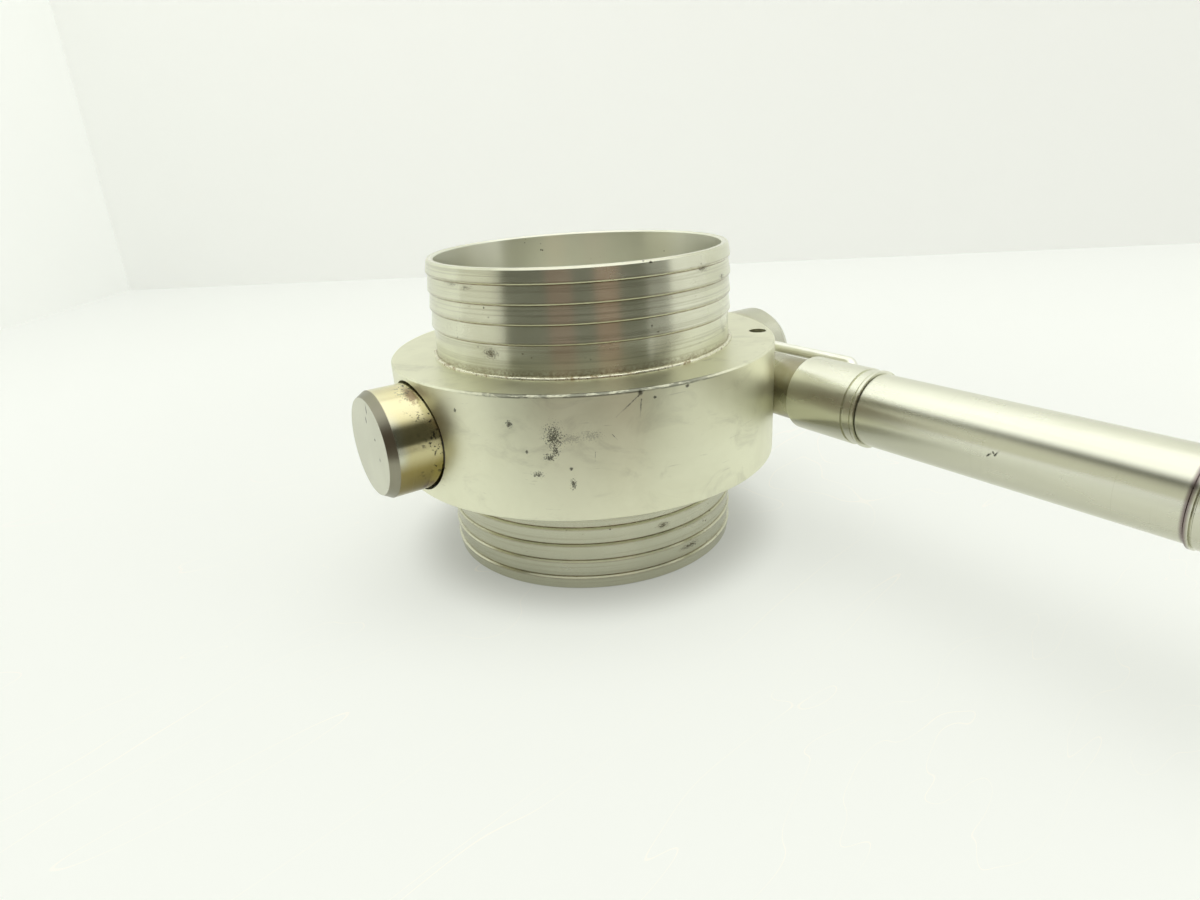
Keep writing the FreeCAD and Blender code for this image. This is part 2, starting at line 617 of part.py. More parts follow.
pinion.Placement = FreeCAD.Placement(V(0, 0, 0), FreeCAD.Rotation(V(0, 1, 0), -90)
                                     .multiply(FreeCAD.Rotation(V(0, 0, 1), 0)))
bind(pinion, Placement__Base__x="pinion_start + gear_width", Placement__Base__z="axis_height")
key_slot = box("key_slot", "gear_width", "2", "2", "pinion_start", "-1", "axis_height + drive_radius - 1")
nodes.append(cut("pinion_gear", pinion, [key_slot]))
key = box("pinion_key", "gear_width", "2", "1.9", "pinion_start", "-1", "axis_height + drive_radius - 1")
key.Label = "pinion_key"
nodes.append(key)

# Rack: an L-shaped bar with one straight-sided tooth space repeated along it.
rack = doc.addObject("PartDesign::Body", "rack_bar")
rack_sketch = profile(rack, "rack_outline", [
    ("0 - rack_left", "rack_tip"),
    ("rack_web", "rack_tip"),
    ("rack_web", "0 - web_drop"),
    ("rack_web + web_thick", "0 - web_drop"),
    ("rack_web + web_thick", "rack_back"),
    ("0 - rack_left", "rack_back"),
], "XY_Plane")
rack_pad = rack.newObject("PartDesign::Pad", "rack_pad")
rack_pad.Profile = rack_sketch
bind(rack_pad, Length="rack_width")
half_gap = size("tooth_pitch") / 4 + size("backlash") / 4
lean = math.tan(pressure)
rack_space_sketch = rack.newObject("Sketcher::SketchObject", "rack_space_sketch")
rack_space_sketch.AttachmentSupport = (plane(rack, "XY_Plane"), [""])
rack_space_sketch.MapMode = "FlatFace"
first = -size("tooth_pitch")
gap_low = size("rack_tip") - 0.3
gap_high = size("rack_root")
spots = [
    V(first - half_gap - (pitch - gap_low) * lean, gap_low, 0),
    V(first + half_gap + (pitch - gap_low) * lean, gap_low, 0),
    V(first + half_gap - (gap_high - pitch) * lean, gap_high, 0),
    V(first - half_gap + (gap_high - pitch) * lean, gap_high, 0),
]
for i in range(4):
    rack_space_sketch.addGeometry(Part.LineSegment(spots[i], spots[(i + 1) % 4]), False)
for i in range(4):
    rack_space_sketch.addConstraint(Sketcher.Constraint("Coincident", i, 2, (i + 1) % 4, 1))
rack_space = rack.newObject("PartDesign::Pocket", "rack_space")
rack_space.Profile = rack_space_sketch
rack_space.Type = 1
rack_space.Reversed = True
rack_teeth = rack.newObject("PartDesign::LinearPattern", "rack_teeth")
rack_teeth.Originals = [rack_space]
rack_teeth.Direction = (rack_sketch, ["H_Axis"])
bind(rack_teeth, Length="tooth_pitch * ( rack_spaces - 1 )", Occurrences="rack_spaces")
rack.Tip = rack_teeth
rack.Placement = FreeCAD.Placement(V(0, 0, 0), FreeCAD.Rotation(V(0, -1, 0), V(0, 0, 1), V(-1, 0, 0), "XYZ"))
bind(rack, Placement__Base__x="rack_x + rack_width", Placement__Base__z="axis_height")
rod_socket = rod("rod_socket", "rod_tip", "rack_web - 1", "web_thick + 2", "cylinder")
nodes.append(cut("rack", rack, [rod_socket]))

# Air cylinder, fixed pieces: neck, rod bush, rod seal, front cap, barrel, rear cap, two ring seals.
neck_blank = turned("neck_blank", [
    ("rod_radius + 0.5", "neck_start"),
    ("neck_radius - 0.5", "neck_start"),
    ("neck_radius", "neck_start + 0.5"),
    ("neck_radius", "cap_socket"),
    ("rod_bush_radius", "cap_socket"),
    ("rod_bush_radius", "neck_start + 2"),
    ("rod_radius + 0.5", "neck_start + 2"),
], "cylinder")
neck_flat = box("neck_flat", "2 * neck_radius", "7", "5",
                "actuator_x - neck_radius", "0 - screw_depth - 3.5", "axis_height + screw_flat")
nodes.append(cut("cylinder_neck", neck_blank, [neck_flat]))
rod_bush = turned("rod_bush", [
    ("rod_radius + running_gap", "neck_start + 2"),
    ("rod_bush_radius", "neck_start + 2"),
    ("rod_bush_radius", "neck_start + 16"),
    ("rod_radius + running_gap", "neck_start + 16"),
], "cylinder")
rod_seal = turned("rod_seal", [
    ("rod_radius + running_gap", "neck_start + 16.2"),
    ("rod_bush_radius", "neck_start + 16.2"),
    ("rod_bush_radius", "neck_start + 19.4"),
    ("rod_radius + 1.2", "neck_start + 19.4"),
    ("rod_radius + 1.2", "neck_start + 18"),
    ("rod_radius + running_gap", "neck_start + 19"),
], "cylinder")
nodes += [rod_bush, rod_seal]
cap_blank = turned("front_cap_blank", [
    ("neck_radius", "cap_start"),
    ("cap_radius - collar_corner", "cap_start"),
    ("cap_radius - 0.1", "cap_start + 0.1"),
    ("cap_radius", "cap_start + collar_corner"),
    ("cap_radius", "band_start"),
    ("cap_radius - band_step - line_depth", "band_start + 0.1"),
    ("cap_radius - band_step - line_depth", "band_start + 0.1 + line_width"),
    ("cap_radius - band_step", "band_start + 0.3 + line_width"),
    ("cap_radius - band_step", "joint_front - lip_width - line_width - 0.3"),
    ("cap_radius - band_step - line_depth", "joint_front - lip_width - line_width - 0.1"),
    ("cap_radius - band_step - line_depth", "joint_front - lip_width - 0.1"),
    ("cap_radius", "joint_front - lip_width"),
    ("cap_radius", "joint_front"),
    ("barrel_bore", "joint_front"),
    ("barrel_bore", "joint_front + 3"),
    ("barrel_bore - groove_depth", "joint_front + 3"),
    ("barrel_bore - groove_depth", "joint_front + 5"),
    ("barrel_bore", "joint_front + 5"),
    ("barrel_bore", "front_spigot_end"),
    ("way_radius", "front_spigot_end"),
    ("way_radius", "cap_socket"),
    ("neck_radius", "cap_socket"),
], "cylinder")
cap_air_hole = doc.addObject("Part::Cylinder", "cap_air_hole")
bind(cap_air_hole, Radius="tube_radius", Height="cap_radius")
lean_now = math.degrees(math.atan2(size("tube_rise"), size("tube_x") - size("actuator_x")))
cap_air_hole.Placement = FreeCAD.Placement(V(0, 0, 0), FreeCAD.Rotation(V(0, 1, 0), 90 - lean_now))
cap_air_hole.setExpression("Placement.Rotation.Angle", "90 deg - Dims.tube_lean")
cap_air_hole.setExpression("Placement.Base.x", "Dims.actuator_x + (Dims.way_radius - 0.5) * Dims.tube_offset / Dims.tube_distance")
cap_air_hole.setExpression("Placement.Base.y", "-(Dims.tube_bend + Dims.bend_radius)")
cap_air_hole.setExpression("Placement.Base.z", "Dims.axis_height + (Dims.way_radius - 0.5) * Dims.tube_rise / Dims.tube_distance")
nodes.append(cut("front_cap", cap_blank, [cap_air_hole]))

nodes.append(turned("barrel", [
    ("barrel_bore", "joint_front + joint_gap"),
    ("barrel_radius - 0.2", "joint_front + joint_gap"),
    ("barrel_radius", "joint_front + joint_gap + 0.2"),
    ("barrel_radius", "joint_rear - joint_gap - 0.2"),
    ("barrel_radius - 0.2", "joint_rear - joint_gap"),
    ("barrel_bore", "joint_rear - joint_gap"),
], "cylinder"))
nodes.append(turned("rear_cap", [
    ("0", "rear_spigot_end + 2"),
    ("barrel_bore - 2.5", "rear_spigot_end + 2"),
    ("barrel_bore - 2.5", "rear_spigot_end"),
    ("barrel_bore", "rear_spigot_end"),
    ("barrel_bore", "joint_rear - 5"),
    ("barrel_bore - groove_depth", "joint_rear - 5"),
    ("barrel_bore - groove_depth", "joint_rear - 3"),
    ("barrel_bore", "joint_rear - 3"),
    ("barrel_bore", "joint_rear"),
    ("cap_radius", "joint_rear"),
    ("cap_radius", "joint_rear + lip_width"),
    ("cap_radius - band_step - line_depth", "joint_rear + lip_width + 0.1"),
    ("cap_radius - band_step - line_depth", "joint_rear + lip_width + line_width + 0.1"),
    ("cap_radius - band_step", "joint_rear + lip_width + line_width + 0.3"),
    ("cap_radius - band_step", "joint_rear + band_width - line_width - 0.3"),
    ("cap_radius - band_step - line_depth", "joint_rear + band_width - line_width - 0.1"),
    ("cap_radius - band_step - line_depth", "joint_rear + band_width - 0.1"),
    ("cap_radius", "joint_rear + band_width"),
    ("cap_radius", "cap_end - cap_corner"),
    ("cap_radius - 0.35", "cap_end - 0.35"),
    ("cap_radius - cap_corner", "cap_end"),
    ("port_radius + 0.8", "cap_end"),
    ("port_radius", "cap_end - 0.8"),
    ("port_radius", "cap_end - port_depth"),
    ("1.8", "cap_end - port_depth - 1.5"),
    ("1.8", "rear_spigot_end + 2.1"),
    ("0", "rear_spigot_end + 2.1"),
], "cylinder"))
for label, where in (("front_barrel_seal", "joint_front + 4"), ("rear_barrel_seal", "joint_rear - 4")):
    nodes.append(ring(label, "barrel_bore - groove_depth / 2", "groove_depth / 2 - 0.01", "cylinder", where))

# Moving pieces of the cylinder: rod, piston with two seals and a guide ring, stop tube, nut.
nodes.append(turned("piston_rod", [
    ("0", "rack_web + 0.4"),
    ("rod_tip", "rack_web + 0.4"),
    ("rod_tip", "rack_web + web_thick"),
    ("rod_radius - 0.4", "rack_web + web_thick"),
    ("rod_radius", "rack_web + web_thick + 0.4"),
    ("rod_radius", "piston_start"),
    ("rod_tail", "piston_start"),
    ("rod_tail", "piston_end + nut_height + 0.5"),
    ("rod_tail - 0.5", "piston_end + nut_height + 1"),
    ("0", "piston_end + nut_height + 1"),
], "cylinder"))
nodes.append(turned("stop_tube", [
    ("rod_radius", "front_spigot_end + stroke + 0.1"),
    ("rod_radius + 2.4", "front_spigot_end + stroke + 0.1"),
    ("rod_radius + 2.4", "piston_start"),
    ("rod_radius", "piston_start"),
], "cylinder"))
nodes.append(turned("piston", [
    ("rod_tail", "piston_start"),
    ("piston_radius - 0.6", "piston_start"),
    ("piston_radius", "piston_start + 0.6"),
    ("piston_radius", "piston_start + 2"),
    ("piston_radius - 1.5", "piston_start + 2"),
    ("piston_radius - 1.5", "piston_start + 4"),
    ("piston_radius", "piston_start + 4"),
    ("piston_radius", "piston_start + 5"),
    ("piston_radius - 1", "piston_start + 5"),
    ("piston_radius - 1", "piston_end - 5"),
    ("piston_radius", "piston_end - 5"),
    ("piston_radius", "piston_end - 4"),
    ("piston_radius - 1.5", "piston_end - 4"),
    ("piston_radius - 1.5", "piston_end - 2"),
    ("piston_radius", "piston_end - 2"),
    ("piston_radius", "piston_end - 0.6"),
    ("piston_radius - 0.6", "piston_end"),
    ("rod_tail", "piston_end"),
], "cylinder"))
nodes.append(turned("guide_ring", [
    ("piston_radius - 1", "piston_start + 5.1"),
    ("piston_radius + 0.02", "piston_start + 5.1"),
    ("piston_radius + 0.02", "piston_end - 5.1"),
    ("piston_radius - 1", "piston_end - 5.1"),
], "cylinder"))
for label, where in (("front_piston_seal", "piston_start + 3"), ("rear_piston_seal", "piston_end - 3")):
    nodes.append(ring(label, "piston_radius - 0.73", "0.75", "cylinder", where))

# Hexagonal nut behind the piston.
nut = doc.addObject("PartDesign::Body", "nut_body")
nut_sketch = nut.newObject("Sketcher::SketchObject", "nut_sketch")
nut_sketch.AttachmentSupport = (plane(nut, "XY_Plane"), [""])
nut_sketch.MapMode = "FlatFace"
corner = size("nut_flats") / (2 * math.cos(math.radians(30)))
hexagon = [V(corner * math.cos(math.radians(60 * i)), corner * math.sin(math.radians(60 * i)), 0)
           for i in range(6)]
for i in range(6):
    nut_sketch.addGeometry(Part.LineSegment(hexagon[i], hexagon[(i + 1) % 6]), False)
nut_sketch.addGeometry(Part.Circle(V(0, 0, 0), V(0, 0, 1), corner), True)
nut_sketch.addGeometry(Part.Circle(V(0, 0, 0), V(0, 0, 1), size("rod_tail")), False)
for i in range(6):
    nut_sketch.addConstraint(Sketcher.Constraint("Coincident", i, 2, (i + 1) % 6, 1))
for i in range(6):
    nut_sketch.addConstraint(Sketcher.Constraint("PointOnObject", i, 1, 6))
for i in range(5):
    nut_sketch.addConstraint(Sketcher.Constraint("Equal", i, i + 1))
nut_sketch.addConstraint(Sketcher.Constraint("Coincident", 6, 3, -1, 1))
nut_sketch.addConstraint(Sketcher.Constraint("Coincident", 7, 3, -1, 1))
nut_sketch.addConstraint(Sketcher.Constraint("PointOnObject", 0, 1, -1))
k = nut_sketch.addConstraint(Sketcher.Constraint("Radius", 7, size("rod_tail")))
nut_sketch.setExpression("Constraints[%d]" % k, "Dims.rod_tail")
k = nut_sketch.addConstraint(Sketcher.Constraint("Radius", 6, corner))
nut_sketch.setExpression("Constraints[%d]" % k, "Dims.nut_flats / (2 * cos(30 deg))")
nut_pad = nut.newObject("PartDesign::Pad", "nut_pad")
nut_pad.Profile = nut_sketch
bind(nut_pad, Length="nut_height")
set_axis(nut, "cylinder")
bind(nut, Placement__Base__y="0 - piston_end")
nut.Label = "piston_nut"
nodes.append(nut)

# Locking screw with a hexagon socket, down the hole in the ring's top face onto the neck's flat.
screw = doc.addObject("PartDesign::Body", "screw_body")
screw_sketch = screw.newObject("Sketcher::SketchObject", "screw_sketch")
screw_sketch.AttachmentSupport = (plane(screw, "XY_Plane"), [""])
screw_sketch.MapMode = "FlatFace"
screw_sketch.addGeometry(Part.Circle(V(0, 0, 0), V(0, 0, 1), size("screw_radius")), False)
screw_sketch.addConstraint(Sketcher.Constraint("Coincident", 0, 3, -1, 1))
k = screw_sketch.addConstraint(Sketcher.Constraint("Radius", 0, size("screw_radius")))
screw_sketch.setExpression("Constraints[%d]" % k, "Dims.screw_radius")
screw_pad = screw.newObject("PartDesign::Pad", "screw_pad")
screw_pad.Profile = screw_sketch
bind(screw_pad, Length="screw_length")
doc.recompute()
screw_lead = screw.newObject("PartDesign::Chamfer", "screw_lead")
low_edge = [i + 1 for i, e in enumerate(screw_pad.Shape.Edges)
            if e.Closed and abs(e.CenterOfMass.z) < 1e-6]
screw_lead.Base = (screw_pad, ["Edge%d" % low_edge[0]])
screw_lead.Size = 0.6
socket_sketch = screw.newObject("Sketcher::SketchObject", "socket_sketch")
socket_sketch.AttachmentSupport = (plane(screw, "XY_Plane"), [""])
socket_sketch.MapMode = "FlatFace"
bind(socket_sketch, AttachmentOffset__Base__z="screw_length")
for i in range(6):
    ends = [V(size("screw_corner"), 0, 0), V(size("screw_corner"), 0, 0)]
    ends = [FreeCAD.Rotation(V(0, 0, 1), 60 * (i + k)).multVec(ends[k]) for k in range(2)]
    socket_sketch.addGeometry(Part.LineSegment(ends[0], ends[1]), False)
for i in range(6):
    socket_sketch.addConstraint(Sketcher.Constraint("Coincident", i, 2, (i + 1) % 6, 1))
screw_socket = screw.newObject("PartDesign::Pocket", "screw_socket")
screw_socket.Profile = socket_sketch
bind(screw_socket, Length="screw_socket")
bind(screw, Placement__Base__x="screw_x", Placement__Base__y="0 - screw_depth",
     Placement__Base__z="axis_height + screw_flat")
screw.Label = "locking_screw"
nodes.append(screw)

# Thin air tube: straight from the drive boss, then bent into the side of the front cap.
tube = doc.addObject("PartDesign::Body", "tube_body")
spine = tube.newObject("Sketcher::SketchObject", "tube_path")
spine.AttachmentSupport = (plane(tube, "XZ_Plane"), [""])
spine.MapMode = "FlatFace"
run = size("tube_bend") - size("tube_start")
bend = size("bend_radius")
reach = size("tube_distance") - bend - size("cap_radius") + size("tube_sink")
spine.addGeometry(Part.LineSegment(V(0, 0, 0), V(0, run, 0)), False)
spine.addGeometry(Part.ArcOfCircle(Part.Circle(V(bend, run, 0), V(0, 0, 1), bend),
                                   math.pi / 2, math.pi), False)
spine.addGeometry(Part.LineSegment(V(bend, run + bend, 0), V(bend + reach, run + bend, 0)), False)
spine.addConstraint(Sketcher.Constraint("Coincident", 0, 1, -1, 1))
spine.addConstraint(Sketcher.Constraint("PointOnObject", 0, 2, -2))
spine.addConstraint(Sketcher.Constraint("Tangent", 0, 2, 1, 2))
spine.addConstraint(Sketcher.Constraint("Tangent", 1, 1, 2, 1))
spine.addConstraint(Sketcher.Constraint("Horizontal", 2))
k = spine.addConstraint(Sketcher.Constraint("DistanceY", -1, 1, 0, 2, run))
spine.setExpression("Constraints[%d]" % k, "Dims.tube_bend - Dims.tube_start")
k = spine.addConstraint(Sketcher.Constraint("DistanceX", -1, 1, 2, 2, bend + reach))
spine.setExpression("Constraints[%d]" % k, "Dims.tube_distance - Dims.cap_radius + Dims.tube_sink")
k = spine.addConstraint(Sketcher.Constraint("Radius", 1, bend))
spine.setExpression("Constraints[%d]" % k, "Dims.bend_radius")
tube_ring = tube.newObject("Sketcher::SketchObject", "tube_section")
tube_ring.AttachmentSupport = (plane(tube, "XY_Plane"), [""])
tube_ring.MapMode = "FlatFace"
for i, name in enumerate(("tube_radius", "tube_bore")):
    tube_ring.addGeometry(Part.Circle(V(0, 0, 0), V(0, 0, 1), size(name)), False)
    tube_ring.addConstraint(Sketcher.Constraint("Coincident", i, 3, -1, 1))
    k = tube_ring.addConstraint(Sketcher.Constraint("Radius", i, size(name)))
    tube_ring.setExpression("Constraints[%d]" % k, "Dims." + name)
doc.recompute()
pipe = tube.newObject("PartDesign::AdditivePipe", "tube_pipe")
pipe.Profile = tube_ring
pipe.Spine = (spine, ["Edge1", "Edge2", "Edge3"])
tube.Placement = FreeCAD.Placement(V(0, 0, 0), FreeCAD.Rotation(V(-1, 0, 0), V(0, 0, 1), V(0, -1, 0), "ZXY"))
leaning = doc.addObject("Part::Compound", "tube_leaning")
leaning.Links = [tube]
leaning.Placement = FreeCAD.Placement(V(0, 0, 0), FreeCAD.Rotation(V(0, -1, 0), lean_now))
leaning.setExpression("Placement.Rotation.Angle", "Dims.tube_lean")
bind(leaning, Placement__Base__x="tube_x", Placement__Base__y="0 - tube_start",
     Placement__Base__z="axis_height + tube_rise")
leaning.Label = "air_tube"
nodes.append(leaning)

doc.recompute()

bad = 0
for obj in doc.Objects:
    if "Invalid" in obj.State or "Error" in obj.State:
        print("not built:", obj.Name, obj.State)
        bad += 1
for obj in nodes:
    shape = obj.Shape
    if shape.isNull() or not shape.isValid() or len(shape.Solids) != 1:
        print("bad shape:", obj.Label, shape.isNull(), len(shape.Solids))
        bad += 1
if bad:
    raise SystemExit("%d objects failed" % bad)

for obj in nodes:
    box_now = obj.Shape.BoundBox
    print("%-20s volume %9.1f  x %7.2f %7.2f  y %8.2f %7.2f  z %6.2f %6.2f" % (
        obj.Label, obj.Shape.Volume, box_now.XMin, box_now.XMax, box_now.YMin, box_now.YMax,
        box_now.ZMin, box_now.ZMax))
    obj.Shape.exportStep("parts/%s.step" % obj.Label)
print(len(nodes), "pieces written")
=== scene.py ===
# %% [markdown]
# # A stainless butterfly valve with an air cylinder
# The valve is a thick ring with a ridged hose spigot above and below. A disc inside turns on a
# shaft, and a slim air cylinder turns the shaft through a rack and a pinion. Every solid piece
# comes from the CAD frame in metres, so this script gives the finishes, the weld beads and the
# thread in one air port, and sets the table, the light and the camera.

# %% Load the valve
import math

import bpy
from mathutils import Matrix, Vector


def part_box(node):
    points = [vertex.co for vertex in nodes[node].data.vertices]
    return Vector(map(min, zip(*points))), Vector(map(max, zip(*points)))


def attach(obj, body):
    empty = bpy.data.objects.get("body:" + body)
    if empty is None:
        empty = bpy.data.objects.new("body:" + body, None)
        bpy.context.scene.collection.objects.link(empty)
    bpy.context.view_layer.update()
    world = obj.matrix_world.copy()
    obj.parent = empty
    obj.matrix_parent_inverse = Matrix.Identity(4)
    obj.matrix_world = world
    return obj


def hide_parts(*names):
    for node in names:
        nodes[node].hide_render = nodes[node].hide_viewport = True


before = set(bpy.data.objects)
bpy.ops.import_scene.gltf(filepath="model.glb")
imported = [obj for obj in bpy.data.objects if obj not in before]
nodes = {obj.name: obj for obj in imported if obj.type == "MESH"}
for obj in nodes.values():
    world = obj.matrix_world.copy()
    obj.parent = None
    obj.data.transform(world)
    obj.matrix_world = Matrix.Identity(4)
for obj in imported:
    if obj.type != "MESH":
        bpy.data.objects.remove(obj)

scene = bpy.context.scene
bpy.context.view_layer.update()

# %% [markdown]
# A few lengths are read back from the loaded pieces, so that what is added here follows the
# CAD model: where the ring starts and ends, how high the shaft lies, and where the cylinder is.

# %% Lengths that come from the frame
ring_low, ring_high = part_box("valve_body")
ring_radius = ring_high[0]
ring_bottom = ring_low[2]
ring_top = ring_high[2]
axis_height = (ring_bottom + ring_top) / 2
barrel_low, barrel_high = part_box("barrel")
cylinder_x = (barrel_low[0] + barrel_high[0]) / 2
bore_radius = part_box("disc")[1][1]
boss_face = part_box("front_boss")[0][0]
boss_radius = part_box("front_boss")[1][1]
print("ring", round(ring_bottom, 4), round(ring_top, 4), "cylinder at x", round(cylinder_x, 4))

# %% [markdown]
# ## The camera
# The picture was taken close to the valve with a wide lens, from a little above and slightly
# tilted. A camera that close makes the cylinder run steeply out of the frame. The place, the aim
# and the tilt were found by matching edges of the valve, so they are simply stated here.

# %% Camera
camera_place = Vector((-0.1439, -0.2209, 0.1307))
camera_aim = Vector((0.0068, 0.0035, 0.0256))
camera_tilt = math.radians(-3.37)
camera_data = bpy.data.cameras.new("photo_camera")
camera_data.lens = 22.9
camera_data.sensor_width = 36.0
camera_data.clip_start = 0.005
camera = bpy.data.objects.new("photo_camera", camera_data)
scene.collection.objects.link(camera)
look = (camera_aim - camera_place).to_track_quat("-Z", "Y").to_matrix()
camera.location = camera_place
camera.rotation_euler = (look @ Matrix.Rotation(camera_tilt, 3, "Z")).to_euler()
scene.camera = camera
print("camera", tuple(round(x, 4) for x in camera.location), "lens", camera_data.lens)

# %% [markdown]
# ## Small helpers for materials
# A finish is a little graph: patterns on the object's own coordinates change the colour, the
# roughness and the relief of one shader. Most of these helpers add one node and give back the
# socket that the next node needs, so that a finish below reads from top to bottom.

# %% Helpers for finishes: one node each
def new_finish(name, metallic, roughness):
    """A material with one shader, and the object's own coordinates to draw patterns on."""
    finish = bpy.data.materials.new(name)
    finish.use_nodes = True
    tree = finish.node_tree
    shader = tree.nodes["Principled BSDF"]
    shader.inputs["Metallic"].default_value = metallic
    shader.inputs["Roughness"].default_value = roughness
    place = tree.nodes.new("ShaderNodeTexCoord").outputs["Object"]
    return finish, tree, shader, place


def feed(tree, socket, value):
    """Link a socket's output, or write a plain number or colour."""
    if isinstance(value, bpy.types.NodeSocket):
        tree.links.new(value, socket)
    else:
        socket.default_value = value


def stretch(tree, place, scale, move=(0, 0, 0)):
    """Scale the coordinates that a pattern is drawn on, and then move them."""
    mapping = tree.nodes.new("ShaderNodeMapping")
    mapping.inputs["Location"].default_value = move
    mapping.inputs["Scale"].default_value = scale
    tree.links.new(place, mapping.inputs["Vector"])
    return mapping.outputs["Vector"]


def cloud(tree, place, scale, detail=4.0, rough=0.55, twist=0.0):
    """Soft noise, the base of every uneven pattern."""
    noise = tree.nodes.new("ShaderNodeTexNoise")
    noise.inputs["Scale"].default_value = scale
    noise.inputs["Detail"].default_value = detail
    noise.inputs["Roughness"].default_value = rough
    noise.inputs["Distortion"].default_value = twist
    tree.links.new(place, noise.inputs["Vector"])
    return noise.outputs["Fac"]


def between(tree, value, low, high, out_low=0.0, out_high=1.0):
    """Map a pattern between two levels to two other levels, smoothly and clamped."""
    ramp = tree.nodes.new("ShaderNodeMapRange")
    ramp.interpolation_type = "SMOOTHSTEP"
    tree.links.new(value, ramp.inputs["Value"])
    ramp.inputs["From Min"].default_value = low
    ramp.inputs["From Max"].default_value = high
    ramp.inputs["To Min"].default_value = out_low
    ramp.inputs["To Max"].default_value = out_high
    return ramp.outputs["Result"]


def sums(tree, kind, first, second):
    """One step of arithmetic on patterns or plain numbers."""
    math_node = tree.nodes.new("ShaderNodeMath")
    math_node.operation = kind
    feed(tree, math_node.inputs[0], first)
    feed(tree, math_node.inputs[1], second)
    return math_node.outputs["Value"]


def paint(tree, amount, under, over):
    """Lay one colour over another by an amount from 0 to 1."""
    mix = tree.nodes.new("ShaderNodeMix")
    mix.data_type = "RGBA"
    feed(tree, mix.inputs["Factor"], amount)
    for socket, colour in ((mix.inputs[6], under), (mix.inputs[7], over)):
        feed(tree, socket, colour if isinstance(colour, bpy.types.NodeSocket) else (*colour, 1.0))
    return mix.outputs[2]


def relief(tree, height, depth, under=None):
    """Bump in metres; it can lie on an earlier bump."""
    bump = tree.nodes.new("ShaderNodeBump")
    bump.inputs["Distance"].default_value = depth
    tree.links.new(height, bump.inputs["Height"])
    if under is not None:
        tree.links.new(under, bump.inputs["Normal"])
    return bump.outputs["Normal"]


def axes(tree, place):
    """The three coordinates, each as a pattern of its own."""
    split = tree.nodes.new("ShaderNodeSeparateXYZ")
    tree.links.new(place, split.inputs["Vector"])
    return split.outputs["X"], split.outputs["Y"], split.outputs["Z"]


def dot(tree, vector, way):
    """How far a place or a direction goes along a way."""
    product = tree.nodes.new("ShaderNodeVectorMath")
    product.operation = "DOT_PRODUCT"
    product.inputs[1].default_value = way
    tree.links.new(vector, product.inputs[0])
    return product.outputs["Value"]


def off_centre(tree, vector):
    """How far a place lies from the origin."""
    distance = tree.nodes.new("ShaderNodeVectorMath")
    distance.operation = "LENGTH"
    tree.links.new(vector, distance.inputs[0])
    return distance.outputs["Value"]


# %% Helpers for finishes: masks
def either(tree, masks):
    """Where any of the masks holds."""
    total = masks[0]
    for other in masks[1:]:
        total = sums(tree, "MAXIMUM", total, other)
    return total


def times(tree, *masks):
    """Where all the masks hold together. A plain number makes a mask weaker."""
    product = masks[0]
    for other in masks[1:]:
        product = sums(tree, "MULTIPLY", product, other)
    return product


def off_flow_axis(tree, x, y):
    """The distance from the upright axis that the flow follows."""
    return sums(tree, "SQRT", sums(tree, "ADD", times(tree, x, x), times(tree, y, y)), 0.0)


def stroke(tree, place, start, end, width):
    """A scratch: a mask along a straight line that gets fainter towards its end."""
    run = Vector(end) - Vector(start)
    from_start = stretch(tree, place, (1, 1, 1), [-c for c in start])
    along = dot(tree, from_start, run / run.length_squared)
    held = sums(tree, "MAXIMUM", sums(tree, "MINIMUM", along, 1.0), 0.0)
    nearest = tree.nodes.new("ShaderNodeVectorMath")
    nearest.operation = "SCALE"
    nearest.inputs[0].default_value = run
    tree.links.new(held, nearest.inputs["Scale"])
    off = tree.nodes.new("ShaderNodeVectorMath")
    off.operation = "DISTANCE"
    tree.links.new(from_start, off.inputs[0])
    tree.links.new(nearest.outputs["Vector"], off.inputs[1])
    wander = times(tree, cloud(tree, place, 1500.0, 3.0, 0.7), width * 1.6)
    spread = sums(tree, "ADD", off.outputs["Value"], wander)
    line = between(tree, spread, width * 1.5, width * 0.7)
    share = between(tree, along, 0.0, 1.0)
    return times(tree, line, between(tree, share, 1.0, 0.2, 0.15, 1.0))


def mark(tree, place, spot, size, reach, ragged=0.5, grain=900.0):
    """A mask that is 1 near a spot and fades out. The size gives the spot's half sizes, the
    reach says how many of them it goes, and ragged and grain how torn and how fine its edge is."""
    centred = stretch(tree, place, [1.0 / s for s in size], [-p / s for p, s in zip(spot, size)])
    rough_edge = times(tree, cloud(tree, place, grain, 3.0, 0.7), ragged * 2.0)
    spread = sums(tree, "ADD", off_centre(tree, centred), rough_edge)
    return between(tree, spread, ragged + reach, ragged + reach * 0.35)


# %% Helpers for finishes: turning lines, and putting a finish on
def turned_about(tree, shader, axis, amount):
    """Turning lines run round an axis, so reflections spread along it."""
    tangent = tree.nodes.new("ShaderNodeTangent")
    tangent.direction_type = "RADIAL"
    tangent.axis = axis
    tree.links.new(tangent.outputs["Tangent"], shader.inputs["Tangent"])
    shader.inputs["Anisotropic"].default_value = amount
    shader.inputs["Anisotropic Rotation"].default_value = 0.25


def wear(piece, finish):
    """Give a piece one finish all over. A CAD piece goes by its name, a new one is passed itself."""
    if isinstance(piece, str):
        piece = nodes[piece]
    piece.data.materials.clear()
    piece.data.materials.append(finish)


# %% [markdown]
# ## Turned stainless on the hose spigots
# The spigots were turned on a lathe, so hair-fine lines run round them and stretch every
# reflection up and down. Handling left brown specks. Painted shade with some grime sits along the
# ledges, and grime beside the weld, but only outside. The lower spigot is painted darker as
# painted shade, and the inside is painted paler as painted light. The lines are noise squeezed
# flat along Z, which is cheaper and less regular than waves.

# %% Colours and patterns of worn steel, and of painted shade
dull_and_shaded_steel = (0.45, 0.44, 0.33)
brown_stain_and_shade = (0.17, 0.10, 0.045)
black_scuff = (0.035, 0.033, 0.028)


